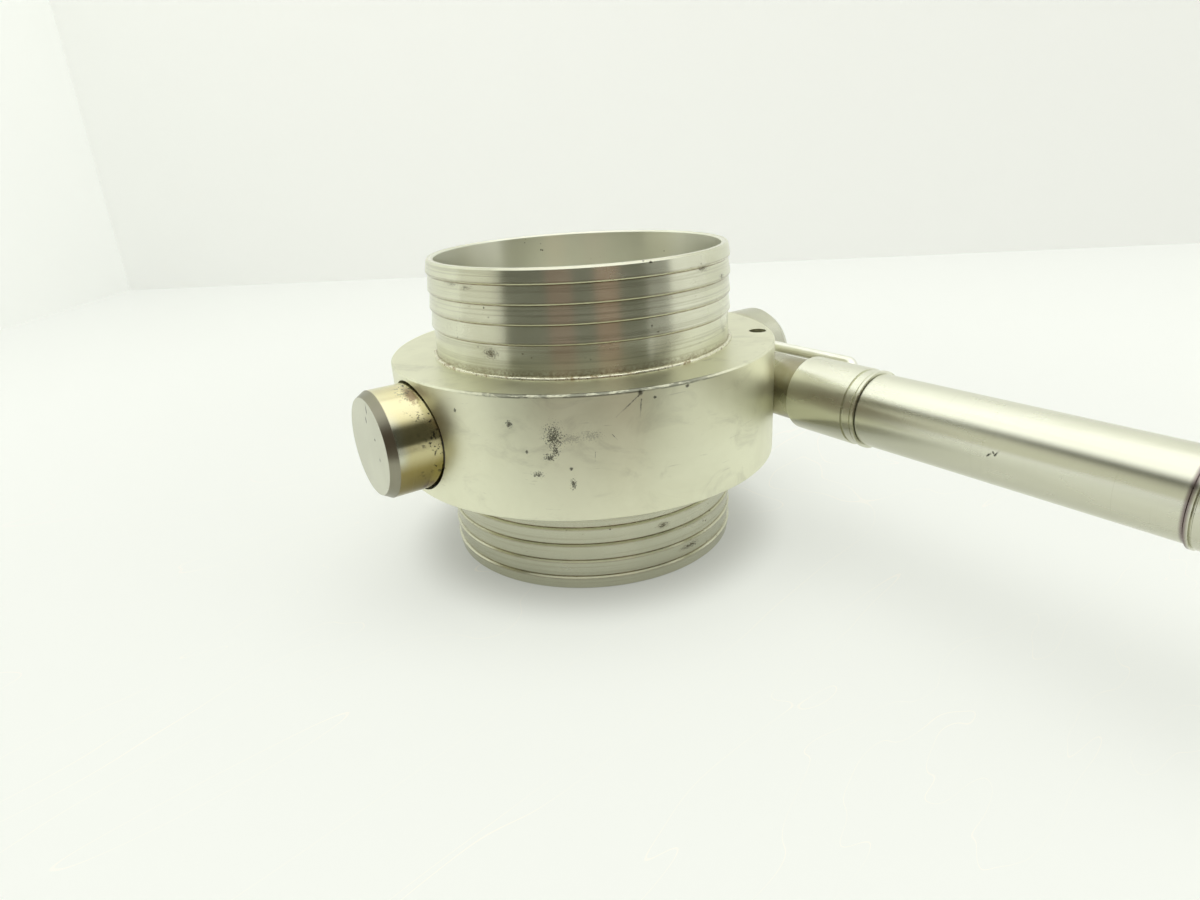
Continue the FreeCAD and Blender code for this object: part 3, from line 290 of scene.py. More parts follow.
def lathe_lines(tree, place, axis, fine=2600.0):
    """Lines that run round an axis: noise squeezed along it."""
    scale = [14.0, 14.0, 14.0]
    scale["XYZ".index(axis)] = fine
    return cloud(tree, stretch(tree, place, scale), 1.0, 3.0, 0.6)


def dark_specks(tree, place, density, size):
    """Small round dots, kept only where a wide noise is high."""
    cells = tree.nodes.new("ShaderNodeTexVoronoi")
    cells.inputs["Scale"].default_value = density
    tree.links.new(place, cells.inputs["Vector"])
    near = between(tree, cells.outputs["Distance"], size, size * 0.45)
    rare = between(tree, cloud(tree, place, density * 0.22, 2.0), 0.63, 0.68)
    return times(tree, near, rare)


# %% Turned spigots: where the painted shade with grime, the dirt and the spots sit
first_ledge = 0.00989
ridge_pitch = 0.00577
foot = ring_top - axis_height
across_view = (0.83, -0.56, 0.0)
crumb_grain = 3600.0
turned_finish, tree, shader, place = new_finish("turned_stainless", 1.0, 0.24)
x, y, z = axes(tree, place)
from_middle = sums(tree, "ABSOLUTE", sums(tree, "SUBTRACT", z, axis_height), 0.0)
outside = between(tree, off_flow_axis(tree, x, y), bore_radius + 0.0012, bore_radius + 0.0018)

# The step goes from 0 at one ledge to 1 at the next. Painted shade with some grime fills the end of
# each step, just before the next ledge, and a little of it lies just past the ledge.
ragged = cloud(tree, place, 420.0, 5.0, 0.7)
past_ledge = sums(tree, "SUBTRACT", from_middle, foot + first_ledge)
step = sums(tree, "FRACT", sums(tree, "DIVIDE", past_ledge, ridge_pitch), 0.0)
corner = times(tree, between(tree, step, 0.940, 0.985), between(tree, past_ledge, -0.0010, -0.0005))
above = times(tree, between(tree, step, 0.20, 0.10), between(tree, step, 0.07, 0.10),
              between(tree, past_ledge, -0.0002, 0.0))
corner = either(tree, [corner, times(tree, above, 0.35)])
corner = times(tree, corner, between(tree, ragged, 0.30, 0.55, 0.45, 1.0))
at_weld = times(tree, between(tree, from_middle, foot + 0.0034, foot + 0.0014),
                between(tree, cloud(tree, place, 1300.0, 4.0, 0.7), 0.38, 0.62))
ledge_shade_and_grime = either(tree, [corner, times(tree, at_weld, 0.5)])

# Fine dirt lies at the two sides of the spigot, where the view grazes it, and not in front.
off_front = sums(tree, "ABSOLUTE", dot(tree, place, across_view), 0.0)
dirt = times(tree, between(tree, cloud(tree, place, 1900.0, 3.0, 0.6), 0.60, 0.70),
             between(tree, cloud(tree, place, 75.0, 3.0, 0.6), 0.48, 0.62),
             between(tree, off_front, 0.020, 0.034))

# Each spot has its place, its half sizes, how far it reaches and how torn it is.
one_dot = mark(tree, place, (-0.0081, -0.0498, 0.1015), (0.0007, 0.0007, 0.0005), 1.0)
spot_places = (
    ((0.0125, -0.0492, 0.0971), (0.0026, 0.0020, 0.0009), 0.9, 3.4),
    ((-0.0503, -0.0067, 0.0969), (0.0022, 0.0044, 0.0009), 0.4, 3.6),
    ((-0.0489, -0.0138, 0.0962), (0.0020, 0.0030, 0.0008), 0.4, 3.6),
    ((0.0235, -0.0450, 0.0930), (0.0022, 0.0022, 0.0008), 0.6, 3.4),
    ((-0.0462, -0.0203, 0.0772), (0.0022, 0.0026, 0.0015), 0.9, 3.4),
    ((-0.0066, -0.0501, 0.0188), (0.0020, 0.0020, 0.0011), 0.9, 3.4),
    ((0.0044, -0.0503, 0.0078), (0.0036, 0.0020, 0.0010), 0.9, 3.4),
)
spots = [mark(tree, place, *spot, crumb_grain) for spot in spot_places]
spots = either(tree, [one_dot, *spots, dark_specks(tree, place, 520.0, 0.20)])
print("first ledge", first_ledge, "m from the ring, then one every", ridge_pitch, "m")

# %% Finish: turned spigots
lines = lathe_lines(tree, place, "Z")
bands = cloud(tree, stretch(tree, place, (8.0, 8.0, 1000.0)), 1.0, 4.0, 0.65)
patches = cloud(tree, stretch(tree, place, (30.0, 30.0, 90.0)), 1.0, 5.0)
# Painted shade: the lower spigot is painted darker towards the bottom, for the shadowed floor it
# reflects.
painted_shade_below = between(tree, z, axis_height, axis_height - 0.02)
tone = paint(tree, between(tree, patches, 0.35, 0.70), (0.66, 0.66, 0.52), (0.74, 0.745, 0.60))
tone = paint(tree, between(tree, bands, 0.48, 0.66, 0.0, 0.45), tone, dull_and_shaded_steel)
tone = paint(tree, between(tree, lines, 0.62, 0.78, 0.0, 0.5), tone, dull_and_shaded_steel)
# Painted shade on the lower spigot.
tone = paint(tree, times(tree, painted_shade_below, 0.4), tone, dull_and_shaded_steel)
# Painted shade with some grime in the ledge corners, and grime beside the weld.
tone = paint(tree, times(tree, outside, 0.85, ledge_shade_and_grime), tone, brown_stain_and_shade)
tone = paint(tree, times(tree, outside, 0.5, dirt), tone, brown_stain_and_shade)
# Painted light: the inside of the bore is painted paler than the outside.
tone = paint(tree, sums(tree, "SUBTRACT", 1.0, outside), tone, (0.885, 0.89, 0.765))
tone = paint(tree, spots, tone, (0.09, 0.07, 0.038))
gloss = between(tree, patches, 0.3, 0.75, 0.25, 0.28)
duller_inside = between(tree, outside, 0.0, 1.0, 0.08, 0.0)
feed(tree, shader.inputs["Base Color"], tone)
feed(tree, shader.inputs["Roughness"], sums(tree, "ADD", gloss, duller_inside))
feed(tree, shader.inputs["Normal"], relief(tree, lines, 0.000003))
turned_about(tree, shader, "Z", 0.95)
for name in ("upper_spigot", "lower_spigot"):
    wear(name, turned_finish)
print("finish:", turned_finish.name)

# %% [markdown]
# ## Satin steel on the thick ring
# The ring's side was ground to a soft satin and has lived a rough life: black rubber scuffs,
# short scratches, a dinged top edge. A scuff is a ragged spot at its own place on the ring, so
# it looks the same from every camera.

# %% Satin ring: where the scuffs, the scratches, the dings and the painted shade on the edge sit
satin_finish, tree, shader, place = new_finish("satin_stainless", 1.0, 0.4)
x, y, z = axes(tree, place)
scuff_grain = 2600.0

# Each scuff has its place, its half width and half height, and how torn it is.
scuff_places = (
    ((-0.0437, -0.0491, 0.0583), 0.0017, 0.0024, 4.0),
    ((-0.0435, -0.0492, 0.0540), 0.0008, 0.0014, 3.4),
    ((-0.0449, -0.0480, 0.0521), 0.0012, 0.0008, 3.4),
    ((-0.0494, -0.0433, 0.0536), 0.0004, 0.0006, 0.9),
    ((-0.0476, -0.0453, 0.0468), 0.0011, 0.0007, 3.2),
    ((-0.0404, -0.0518, 0.0485), 0.0005, 0.0005, 1.2),
    ((-0.0401, -0.0520, 0.0439), 0.0006, 0.0013, 3.4),
    ((-0.0611, -0.0241, 0.0641), 0.0005, 0.0006, 0.9),
    ((-0.0523, -0.0398, 0.0616), 0.0008, 0.0010, 2.0),
    ((-0.0636, -0.0164, 0.0446), 0.0005, 0.0005, 1.0),
    ((-0.0186, -0.0630, 0.0672), 0.0005, 0.0004, 1.2),
    ((-0.0226, -0.0617, 0.0692), 0.0007, 0.0008, 0.9),
    ((-0.0086, -0.0651, 0.0688), 0.0007, 0.0005, 1.2),
)
faint_places = ((-0.0400, -0.0521, 0.0575), (-0.0355, -0.0553, 0.0580))

# Each scratch has its start, its end and its width.
scratch_runs = (
    ((-0.0226, -0.0617, 0.0688), (-0.0292, -0.0589, 0.0629), 0.00042),
    ((-0.0224, -0.0618, 0.0672), (-0.0229, -0.0616, 0.0622), 0.00040),
    ((-0.0303, -0.0583, 0.0580), (-0.0290, -0.0589, 0.0562), 0.00022),
    ((-0.0346, -0.0558, 0.0532), (-0.0348, -0.0557, 0.0504), 0.00020),
)
scuffs = [mark(tree, place, spot, (size, size, tall), 1.3, ragged, scuff_grain)
          for spot, size, tall, ragged in scuff_places]
faint = either(tree, [mark(tree, place, spot, (0.0022, 0.0022, 0.0011), 1.1, 4.0, scuff_grain)
                      for spot in faint_places])
scored = [stroke(tree, place, *run) for run in scratch_runs]
black_marks = either(tree, [*scuffs, times(tree, faint, 0.35), *scored])

# The dings sit on the top edge of the ring, on the side that faces the camera. That edge is also
# painted darker, painted shade that keeps its bevel from showing a bright reflection.
top_edge = times(tree, between(tree, z, ring_top - 0.0011, ring_top - 0.0006),
                 between(tree, off_flow_axis(tree, x, y), ring_radius - 0.0012, ring_radius - 0.0007))
front_side = times(tree, between(tree, y, -0.022, -0.040), between(tree, x, 0.008, -0.008))
shaded_dinged_edge = times(tree, top_edge, front_side)
dings = cloud(tree, stretch(tree, place, (150.0, 150.0, 700.0)), 1.0, 5.0, 0.75)
dings = times(tree, shaded_dinged_edge, between(tree, dings, 0.44, 0.52))
print("scuffs:", len(scuffs), "scratches:", len(scored))

# %% Finish: satin ring
grain = cloud(tree, stretch(tree, place, (300.0, 300.0, 1500.0)), 1.0, 4.0, 0.65)
patches = cloud(tree, place, 34.0, 5.0, 0.6, 0.4)
streaks = cloud(tree, stretch(tree, place, (60.0, 60.0, 90.0), (0.0, 0.0, 0.4)), 1.0, 5.0, 0.65, 0.8)
scratches = cloud(tree, stretch(tree, place, (90.0, 240.0, 1900.0)), 1.0, 2.0, 0.5, 0.3)
tone = paint(tree, between(tree, patches, 0.34, 0.66), (0.77, 0.77, 0.585), (0.85, 0.855, 0.67))
tone = paint(tree, between(tree, streaks, 0.52, 0.72, 0.0, 0.3), tone, dull_and_shaded_steel)
tone = paint(tree, between(tree, scratches, 0.70, 0.77, 0.0, 0.35), tone, dull_and_shaded_steel)
# Painted shade: the front top edge is painted darker, against the bright reflection on its bevel.
tone = paint(tree, times(tree, shaded_dinged_edge, 0.85), tone, (0.52, 0.525, 0.40))
tone = paint(tree, times(tree, dings, 0.85), tone, (0.20, 0.205, 0.16))
tone = paint(tree, times(tree, black_marks, 0.85), tone, (0.06, 0.06, 0.045))
feed(tree, shader.inputs["Base Color"], tone)
feed(tree, shader.inputs["Roughness"], between(tree, patches, 0.3, 0.75, 0.34, 0.45))
normal = relief(tree, grain, 0.000012)
feed(tree, shader.inputs["Normal"], relief(tree, scratches, 0.000008, normal))
wear("valve_body", satin_finish)
print("finish:", satin_finish.name)

# %% [markdown]
# ## Heat-tinted bosses
# The shaft bosses were heated when they were fitted, which left straw and brown oxide colours on
# their turned sides. The colour fades outwards along the shaft, so one finish suits both bosses.
# The front boss shows most of it: straw along its top with a painted highlight, brown along its
# belly with a painted dark reflection, a dark bevel, brown stains at its root, and a flat end
# that stayed grey.

# %% Heat-tinted bosses: where the colours and the marks sit
tinted_finish, tree, shader, place = new_finish("heat_tinted_stainless", 1.0, 0.26)
x, _, z = axes(tree, place)
reach = sums(tree, "ABSOLUTE", x, 0.0)
uneven = cloud(tree, stretch(tree, place, (40.0, 60.0, 60.0)), 1.0, 4.0, 0.6)
waver = times(tree, sums(tree, "SUBTRACT", uneven, 0.5), 0.006)
straw = between(tree, sums(tree, "ADD", reach, waver), 0.0775, 0.0725)
front_only = between(tree, x, -0.05, -0.06)
side_only = times(tree, front_only, between(tree, x, boss_face + 0.0024, boss_face + 0.0029))
# Painted highlight on the top of the front boss's side, painted dark reflection on its belly.
straw_and_highlight_top = times(tree, side_only, between(tree, z, 0.0590, 0.0650, 0.0, 0.8))
brown_and_dark_reflection_belly = times(tree, between(tree, z, 0.0510, 0.0455, 0.0, 0.9),
              between(tree, z, 0.0340, 0.0385, 0.35, 1.0), side_only)
off_shaft = off_centre(tree, stretch(tree, place, (0.0, 1.0, 1.0), (0.0, 0.0, -axis_height)))
bevel = times(tree, between(tree, off_shaft, boss_radius - 0.0018, boss_radius - 0.0015),
              between(tree, x, boss_face + 0.0030, boss_face + 0.0026))
stains = either(tree, [
    mark(tree, place, (-0.0672, -0.0065, 0.0656), (0.0022, 0.0050, 0.0040), 1.2, 0.8),
    mark(tree, place, (-0.0668, -0.0090, 0.0385), (0.0030, 0.0050, 0.0040), 1.2, 0.8),
])
face_places = (
    ((-0.0799, -0.0024, 0.0634), (0.004, 0.0004, 0.0016), 1.2, 0.4),
    ((-0.0799, -0.0006, 0.0598), (0.004, 0.0004, 0.0013), 1.2, 0.4),
    ((-0.0799, -0.0061, 0.0549), (0.004, 0.0005, 0.0005), 1.2, 0.5),
    ((-0.0799, -0.0077, 0.0489), (0.004, 0.0004, 0.0006), 1.2, 0.5),
)
face_marks = [mark(tree, place, *spot) for spot in face_places]
root_specks = times(tree, between(tree, reach, ring_radius + 0.008, ring_radius),
                    between(tree, cloud(tree, place, 900.0, 3.0, 0.65), 0.54, 0.60),
                    between(tree, cloud(tree, place, 160.0, 2.0), 0.46, 0.56))
print("bosses: face at x", round(boss_face, 4), "radius", round(boss_radius, 4))

# %% Finish: heat-tinted bosses
lines = lathe_lines(tree, place, "X", 2200.0)
tone = paint(tree, between(tree, uneven, 0.35, 0.7), (0.53, 0.53, 0.42), (0.60, 0.605, 0.485))
tint = times(tree, straw, between(tree, front_only, 0.0, 1.0, 0.25, 0.8))
tone = paint(tree, tint, tone, (0.55, 0.49, 0.24))
# The straw tint with a painted highlight on top, the brown tint with a painted dark reflection below.
tone = paint(tree, straw_and_highlight_top, tone, (0.78, 0.72, 0.46))
tone = paint(tree, brown_and_dark_reflection_belly, tone, (0.27, 0.215, 0.065))
tone = paint(tree, times(tree, front_only, 0.85, bevel), tone, (0.25, 0.235, 0.175))
tone = paint(tree, between(tree, lines, 0.62, 0.8, 0.0, 0.4), tone, dull_and_shaded_steel)
tone = paint(tree, times(tree, stains, 0.75), tone, (0.12, 0.055, 0.025))
tone = paint(tree, either(tree, [*face_marks, root_specks]), tone, black_scuff)
gloss = between(tree, uneven, 0.3, 0.7, 0.15, 0.24)
feed(tree, shader.inputs["Base Color"], tone)
feed(tree, shader.inputs["Roughness"], sums(tree, "ADD", gloss, times(tree, bevel, 0.15)))
feed(tree, shader.inputs["Normal"], relief(tree, lines, 0.000012))
turned_about(tree, shader, "X", 0.6)
for name in ("front_boss", "drive_boss"):
    wear(name, tinted_finish)
print("finish:", tinted_finish.name)

# %% [markdown]
# ## Satin steel on the air cylinder
# The barrel and its two caps were polished with a fine belt while they turned, so their lines run
# round the cylinder and the highlights become long bands. The rear joint keeps a trace of
# purple from heat, and the barrel has one short black zigzag scratch.

# %% Finish: air cylinder
cylinder_finish, tree, shader, place = new_finish("cylinder_stainless", 1.0, 0.3)
_, y, z = axes(tree, place)
lines = lathe_lines(tree, place, "Y", 2400.0)
patches = cloud(tree, stretch(tree, place, (60.0, 14.0, 60.0)), 1.0, 5.0, 0.6)
# Painted shade: the lower half of the barrel is painted darker, for the shadowed floor it reflects.
painted_shade_underside = between(tree, z, axis_height + 0.0035, axis_height - 0.0030, 0.0, 0.5)
from_joint = sums(tree, "ABSOLUTE", sums(tree, "SUBTRACT", y, barrel_low[1]), 0.0)
zigzag = ((0.0429, -0.1245, 0.0510), (0.0430, -0.1259, 0.0525),
          (0.0429, -0.1265, 0.0517), (0.0431, -0.1274, 0.0532))
scratch = either(tree, [stroke(tree, place, start, end, 0.00055)
                        for start, end in zip(zigzag, zigzag[1:])])
tone = paint(tree, between(tree, patches, 0.34, 0.66), (0.73, 0.735, 0.61), (0.80, 0.805, 0.68))
tone = paint(tree, between(tree, lines, 0.62, 0.78, 0.0, 0.35), tone, dull_and_shaded_steel)
# Painted shade on the underside of the barrel.
tone = paint(tree, painted_shade_underside, tone, dull_and_shaded_steel)
tone = paint(tree, between(tree, from_joint, 0.0012, 0.0003, 0.0, 0.75), tone, (0.16, 0.10, 0.12))
tone = paint(tree, scratch, tone, black_scuff)
feed(tree, shader.inputs["Base Color"], tone)
feed(tree, shader.inputs["Roughness"], between(tree, patches, 0.3, 0.7, 0.23, 0.29))
feed(tree, shader.inputs["Normal"], relief(tree, lines, 0.000006))
turned_about(tree, shader, "Y", 0.7)
for name in ("barrel", "front_cap", "rear_cap"):
    wear(name, cylinder_finish)
print("finish:", cylinder_finish.name)

# %% [markdown]
# ## The pale air tube
# The thin tube is bright drawn stainless, lighter than the rest, with faint lines along it.

# %% Finish: air tube
tube_finish, tree, shader, place = new_finish("drawn_stainless", 1.0, 0.3)
drawn = cloud(tree, stretch(tree, place, (1800.0, 20.0, 1800.0)), 1.0, 3.0, 0.6)
patches = cloud(tree, place, 90.0, 4.0)
tone = paint(tree, between(tree, patches, 0.35, 0.65), (0.88, 0.88, 0.78), (0.95, 0.95, 0.88))
feed(tree, shader.inputs["Base Color"], tone)
feed(tree, shader.inputs["Roughness"], between(tree, patches, 0.3, 0.7, 0.28, 0.40))
feed(tree, shader.inputs["Normal"], relief(tree, drawn, 0.000008))
wear("air_tube", tube_finish)
print("finish:", tube_finish.name)

# %% [markdown]
# ## Rubber
# The disc's seat is pale rubber and every ring seal is black. Rubber isn't a metal: it has
# a dark or pale colour of its own, a soft gloss, and dust that dulls it in patches.

# %% Finish: rubber
def rubber(name, colour, dusty, roughness):
    """Rubber or plastic in one colour, with dust in patches."""
    finish, tree, shader, place = new_finish(name, 0.0, roughness)
    dust = cloud(tree, place, 260.0, 5.0, 0.65)
    tone = paint(tree, between(tree, dust, 0.48, 0.72, 0.0, 0.7), colour, dusty)
    feed(tree, shader.inputs["Base Color"], tone)
    feed(tree, shader.inputs["Roughness"], between(tree, dust, 0.35, 0.7, roughness, roughness + 0.3))
    feed(tree, shader.inputs["Normal"], relief(tree, cloud(tree, place, 2400.0, 3.0), 0.00002))
    return finish


seat_finish = rubber("pale_seat_rubber", (0.72, 0.71, 0.66), (0.56, 0.54, 0.47), 0.45)
seal_finish = rubber("black_seal_rubber", (0.012, 0.012, 0.012), (0.11, 0.08, 0.05), 0.28)
wear("disc_seat", seat_finish)
black_seals = [name for name in nodes if name.endswith("_seal")]
for name in black_seals:
    wear(name, seal_finish)
print("rubber on", 1 + len(black_seals), "pieces")

# %% [markdown]
# ## The pieces inside
# The disc, the shaft, the gears and the piston show when the valve is open or taken apart, so
# they get their own metals: turned steel, oiled gear steel, hard chrome, bronze and aluminium.
# All are turned pieces, so one helper makes them, and it also makes the darker, browner steel of the
# neck between the ring and the cylinder, which is painted shade.

# %% Finish: metals inside
def machined(name, light, dark, roughness, axis, fine=1800.0, drawn_out=0.5):
    """A turned metal in two patchy tones. Lines round its axis draw the highlights out."""
    finish, tree, shader, place = new_finish(name, 1.0, roughness)
    lines = lathe_lines(tree, place, axis, fine)
    patches = cloud(tree, place, 70.0, 5.0, 0.6)
    tone = paint(tree, between(tree, patches, 0.35, 0.68), light, dark)
    grooves = [0.7 * c for c in dark]
    tone = paint(tree, between(tree, lines, 0.6, 0.8, 0.0, 0.35), tone, grooves)
    feed(tree, shader.inputs["Base Color"], tone)
    feed(tree, shader.inputs["Roughness"], between(tree, patches, 0.3, 0.7, roughness, roughness + 0.1))
    feed(tree, shader.inputs["Normal"], relief(tree, lines, 0.00001))
    turned_about(tree, shader, axis, drawn_out)
    return finish


disc_finish = machined("disc_stainless", (0.80, 0.80, 0.70), (0.70, 0.70, 0.59), 0.3, "Z", 900.0)
shaft_finish = machined("shaft_stainless", (0.62, 0.62, 0.52), (0.50, 0.50, 0.40), 0.24, "X")
nut_finish = machined("nut_stainless", (0.58, 0.58, 0.50), (0.46, 0.46, 0.38), 0.32, "Y")
gear_finish = machined("oiled_gear_steel", (0.36, 0.36, 0.34), (0.20, 0.19, 0.17), 0.28, "X", 1400.0)
chrome_finish = machined("hard_chrome", (0.78, 0.78, 0.79), (0.66, 0.66, 0.68), 0.08, "Y", 3000.0, 0.2)
aluminium_finish = machined("turned_aluminium", (0.78, 0.78, 0.78), (0.64, 0.65, 0.66), 0.3, "Y")
bronze_finish = machined("bearing_bronze", (0.62, 0.42, 0.19), (0.42, 0.26, 0.11), 0.34, "X")
# Painted shade: the neck between the ring and the cylinder is painted in darker steel.
shaded_neck_finish = machined("shaded_neck_stainless", (0.48, 0.47, 0.36), (0.35, 0.325, 0.22), 0.24, "Y")
screw_finish = machined("dark_screw_steel", (0.12, 0.12, 0.115), (0.05, 0.05, 0.048), 0.4, "Z", 1500.0)
for finish, names in (
    (disc_finish, ("disc", "disc_pin_left", "disc_pin_right")),
    (shaft_finish, ("disc_shaft",)),
    (nut_finish, ("piston_nut",)),
    (gear_finish, ("pinion_gear", "pinion_key", "rack")),
    (chrome_finish, ("piston_rod",)),
    (aluminium_finish, ("piston", "stop_tube")),
    (bronze_finish, ("front_bush", "drive_bush", "rod_bush")),
    (screw_finish, ("locking_screw",)),
    (shaded_neck_finish, ("cylinder_neck",)),
):
    for name in names:
        wear(name, finish)
guide_finish = rubber("brown_guide_plastic", (0.16, 0.10, 0.055), (0.24, 0.17, 0.10), 0.5)
wear("guide_ring", guide_finish)
print("pieces with a finish:", sum(1 for o in nodes.values() if o.data.materials))

# %% [markdown]
# ## Helpers for new pieces
# A new piece is modelled with the same operators that a person uses by hand. Everything is
# deselected first, because an operator works on all that is selected.

# %% Helpers for new pieces
def clear_selection():
    bpy.ops.object.select_all(action="DESELECT")


def only(piece):
    clear_selection()
    piece.select_set(True)
    bpy.context.view_layer.objects.active = piece


def settle(piece):
    """Put the piece's place into its mesh and leave its object at the origin."""
    only(piece)
    bpy.ops.object.transform_apply(location=True, rotation=True, scale=True)


def join_frame(piece, name, finish, body):
    """Name a new piece, give it a finish, and let it ride on a body."""
    piece.name = name
    piece.data.name = name
    wear(piece, finish)
    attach(piece, body)
    print("piece:", name, "faces:", len(piece.data.polygons))


# %% [markdown]
# ## The weld beads
# Each spigot is welded to the ring by hand. The bead is a row of small frozen ripples, brown with
# smoke in places, and never a perfect ring. A torus is added in the corner, noise moves its skin
# a little, and a second, finer noise makes the ripples.

# %% Finish: weld metal
weld_finish, tree, shader, place = new_finish("weld_metal", 1.0, 0.35)
smoke = cloud(tree, place, 500.0, 6.0, 0.7)
tone = paint(tree, between(tree, smoke, 0.50, 0.66), (0.80, 0.79, 0.62), (0.40, 0.32, 0.18))
tone = paint(tree, between(tree, cloud(tree, place, 1500.0, 4.0, 0.7), 0.58, 0.66), tone, brown_stain_and_shade)
feed(tree, shader.inputs["Base Color"], tone)
feed(tree, shader.inputs["Roughness"], between(tree, smoke, 0.35, 0.7, 0.24, 0.5))
feed(tree, shader.inputs["Normal"], relief(tree, cloud(tree, place, 1800.0, 4.0), 0.00004))
print("finish:", weld_finish.name)

# %% Weld beads
def weld_bead(name, node, sink):
    """A rippled bead in the place of a CAD ring. The sink draws its skin in a little."""
    low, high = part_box(node)
    height = high[2] - low[2]
    middle_of_bead = high[0] - height * 0.72
    corner = low[2] if low[2] > axis_height else high[2]
    clear_selection()
    bpy.ops.mesh.primitive_torus_add(
        major_radius=middle_of_bead, minor_radius=height * 0.62, major_segments=720,
        minor_segments=16, location=(0, 0, corner))
    bead = bpy.context.object
    settle(bead)
    for label, size, strength in (("sag", 0.0040, 0.00030), ("ripple", 0.0008, 0.00035)):
        grain = bpy.data.textures.new(name + "_" + label, "CLOUDS")
        grain.noise_scale = size
        grain.noise_depth = 2
        push = bead.modifiers.new(label, "DISPLACE")
        push.texture = grain
        push.texture_coords = "LOCAL"
        push.strength = strength
        push.mid_level = 0.5 + sink
        bpy.ops.object.modifier_apply(modifier=label)
    bpy.ops.object.shade_smooth()
    join_frame(bead, name, weld_finish, "housing")
    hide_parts(node)


weld_bead("upper_bead", "upper_weld", 0.02)
weld_bead("lower_bead", "lower_weld", 0.04)

# %% [markdown]
# ## The thread of the rear air port
# A fitting screws into the port in the rear cap, so its wall carries a thread, here with 28 turns
# to an inch. One tooth of the thread is a small triangle, and the Screw modifier winds it into
# the bore turn by turn. Its ends are then closed.

# %% Port thread
def port_thread(name, mouth, axis, radius, pitch, turns, depth, finish):
    """A ridge wound inside a bore, from the mouth inwards along the axis, its foot in the wall."""
    clear_selection()
    bpy.ops.mesh.primitive_circle_add(vertices=3, radius=depth, fill_type="NOTHING")
    tooth = bpy.context.object
    sunk = depth * 0.25
    half_foot = pitch * 0.46
    corners = ((radius + sunk, -half_foot), (radius + sunk, half_foot), (radius - depth, 0.0))
    for vertex, (out, along) in zip(tooth.data.vertices, corners):
        vertex.co = (out, 0.0, along)
    wind = tooth.modifiers.new("wind", "SCREW")
    wind.axis = "Z"
    wind.screw_offset = pitch
    wind.iterations = turns
    wind.steps = 40
    wind.render_steps = 40
    wind.use_merge_vertices = True
    only(tooth)
    bpy.ops.object.modifier_apply(modifier="wind")
    turn = Vector((0, 0, 1)).rotation_difference(Vector(axis)).to_matrix().to_4x4()
    tooth.data.transform(Matrix.Translation(mouth) @ turn)
    bpy.ops.object.mode_set(mode="EDIT")
    bpy.ops.mesh.select_all(action="SELECT")
    bpy.ops.mesh.edge_face_add()
    bpy.ops.mesh.normals_make_consistent(inside=False)
    bpy.ops.object.mode_set(mode="OBJECT")
    join_frame(tooth, name, finish, "housing")


first_turn_in = 0.0016
cap_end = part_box("rear_cap")[0][1]
port_thread("rear_port_thread", mouth=(cylinder_x, cap_end + first_turn_in, axis_height),
            axis=(0, 1, 0), radius=0.004283, pitch=0.000907, turns=8, depth=0.0004,
            finish=cylinder_finish)

# %% [markdown]
# ## The table and the two walls
# The valve stands in a bright white booth. The table ends just in front of the valve, where the
# dimmer room begins, and that edge is what makes the dark bands in the polished pieces. The
# booth is lit very evenly, so part of its light is a glow in the paper itself, weaker right
# under the valve and stronger high up the walls.

# %% Finish: paper of the booth
def booth_finish(name, colour, glow, far_glow):
    """White paper with fine brown veins. It glows for the camera and for the steel alone."""
    finish, tree, shader, place = new_finish(name, 0.0, 0.55)
    veins = cloud(tree, stretch(tree, place, (3.0, 9.0, 3.0)), 1.0, 2.0, 0.5, 2.5)
    off_vein = sums(tree, "ABSOLUTE", sums(tree, "SUBTRACT", veins, 0.5), 0.0)
    hair = between(tree, off_vein, 0.0012, 0.0002, 0.0, 0.25)
    feed(tree, shader.inputs["Base Color"], paint(tree, hair, colour, (0.72, 0.62, 0.45)))
    shader.inputs["Specular IOR Level"].default_value = 0.2
    shader.inputs["Emission Color"].default_value = (0.965, 1.0, 0.945, 1.0)
    light_path = tree.nodes.new("ShaderNodeLightPath")
    seen = either(tree, [light_path.outputs["Is Camera Ray"], light_path.outputs["Is Glossy Ray"]])
    away = off_centre(tree, place)
    height = axes(tree, place)[2]
    level = times(tree, between(tree, away, 0.10, 0.45, glow, far_glow),
                  between(tree, away, 0.05, 0.075, 0.7, 1.25),
                  between(tree, height, 0.50, 0.90, 1.0, 1.25))
    feed(tree, shader.inputs["Emission Strength"], times(tree, seen, level))
    return finish


floor_finish = booth_finish("white_table", (0.44, 0.445, 0.415), 0.41, 0.45)
wall_finish = booth_finish("white_wall", (0.90, 0.915, 0.88), 0.40, 0.40)
print("finish:", floor_finish.name, wall_finish.name)

# %% Floor and walls
def sheet_of_booth(name, corners, finish):
    """A flat sheet between four corners, given in turn round its edge."""
    clear_selection()
    bpy.ops.mesh.primitive_plane_add(size=1.0)
    sheet = bpy.context.object
    for vertex, spot in zip(sheet.data.vertices, (corners[0], corners[1], corners[3], corners[2])):
        vertex.co = spot
    sheet.name = name
    wear(sheet, finish)
    print("sheet:", name)


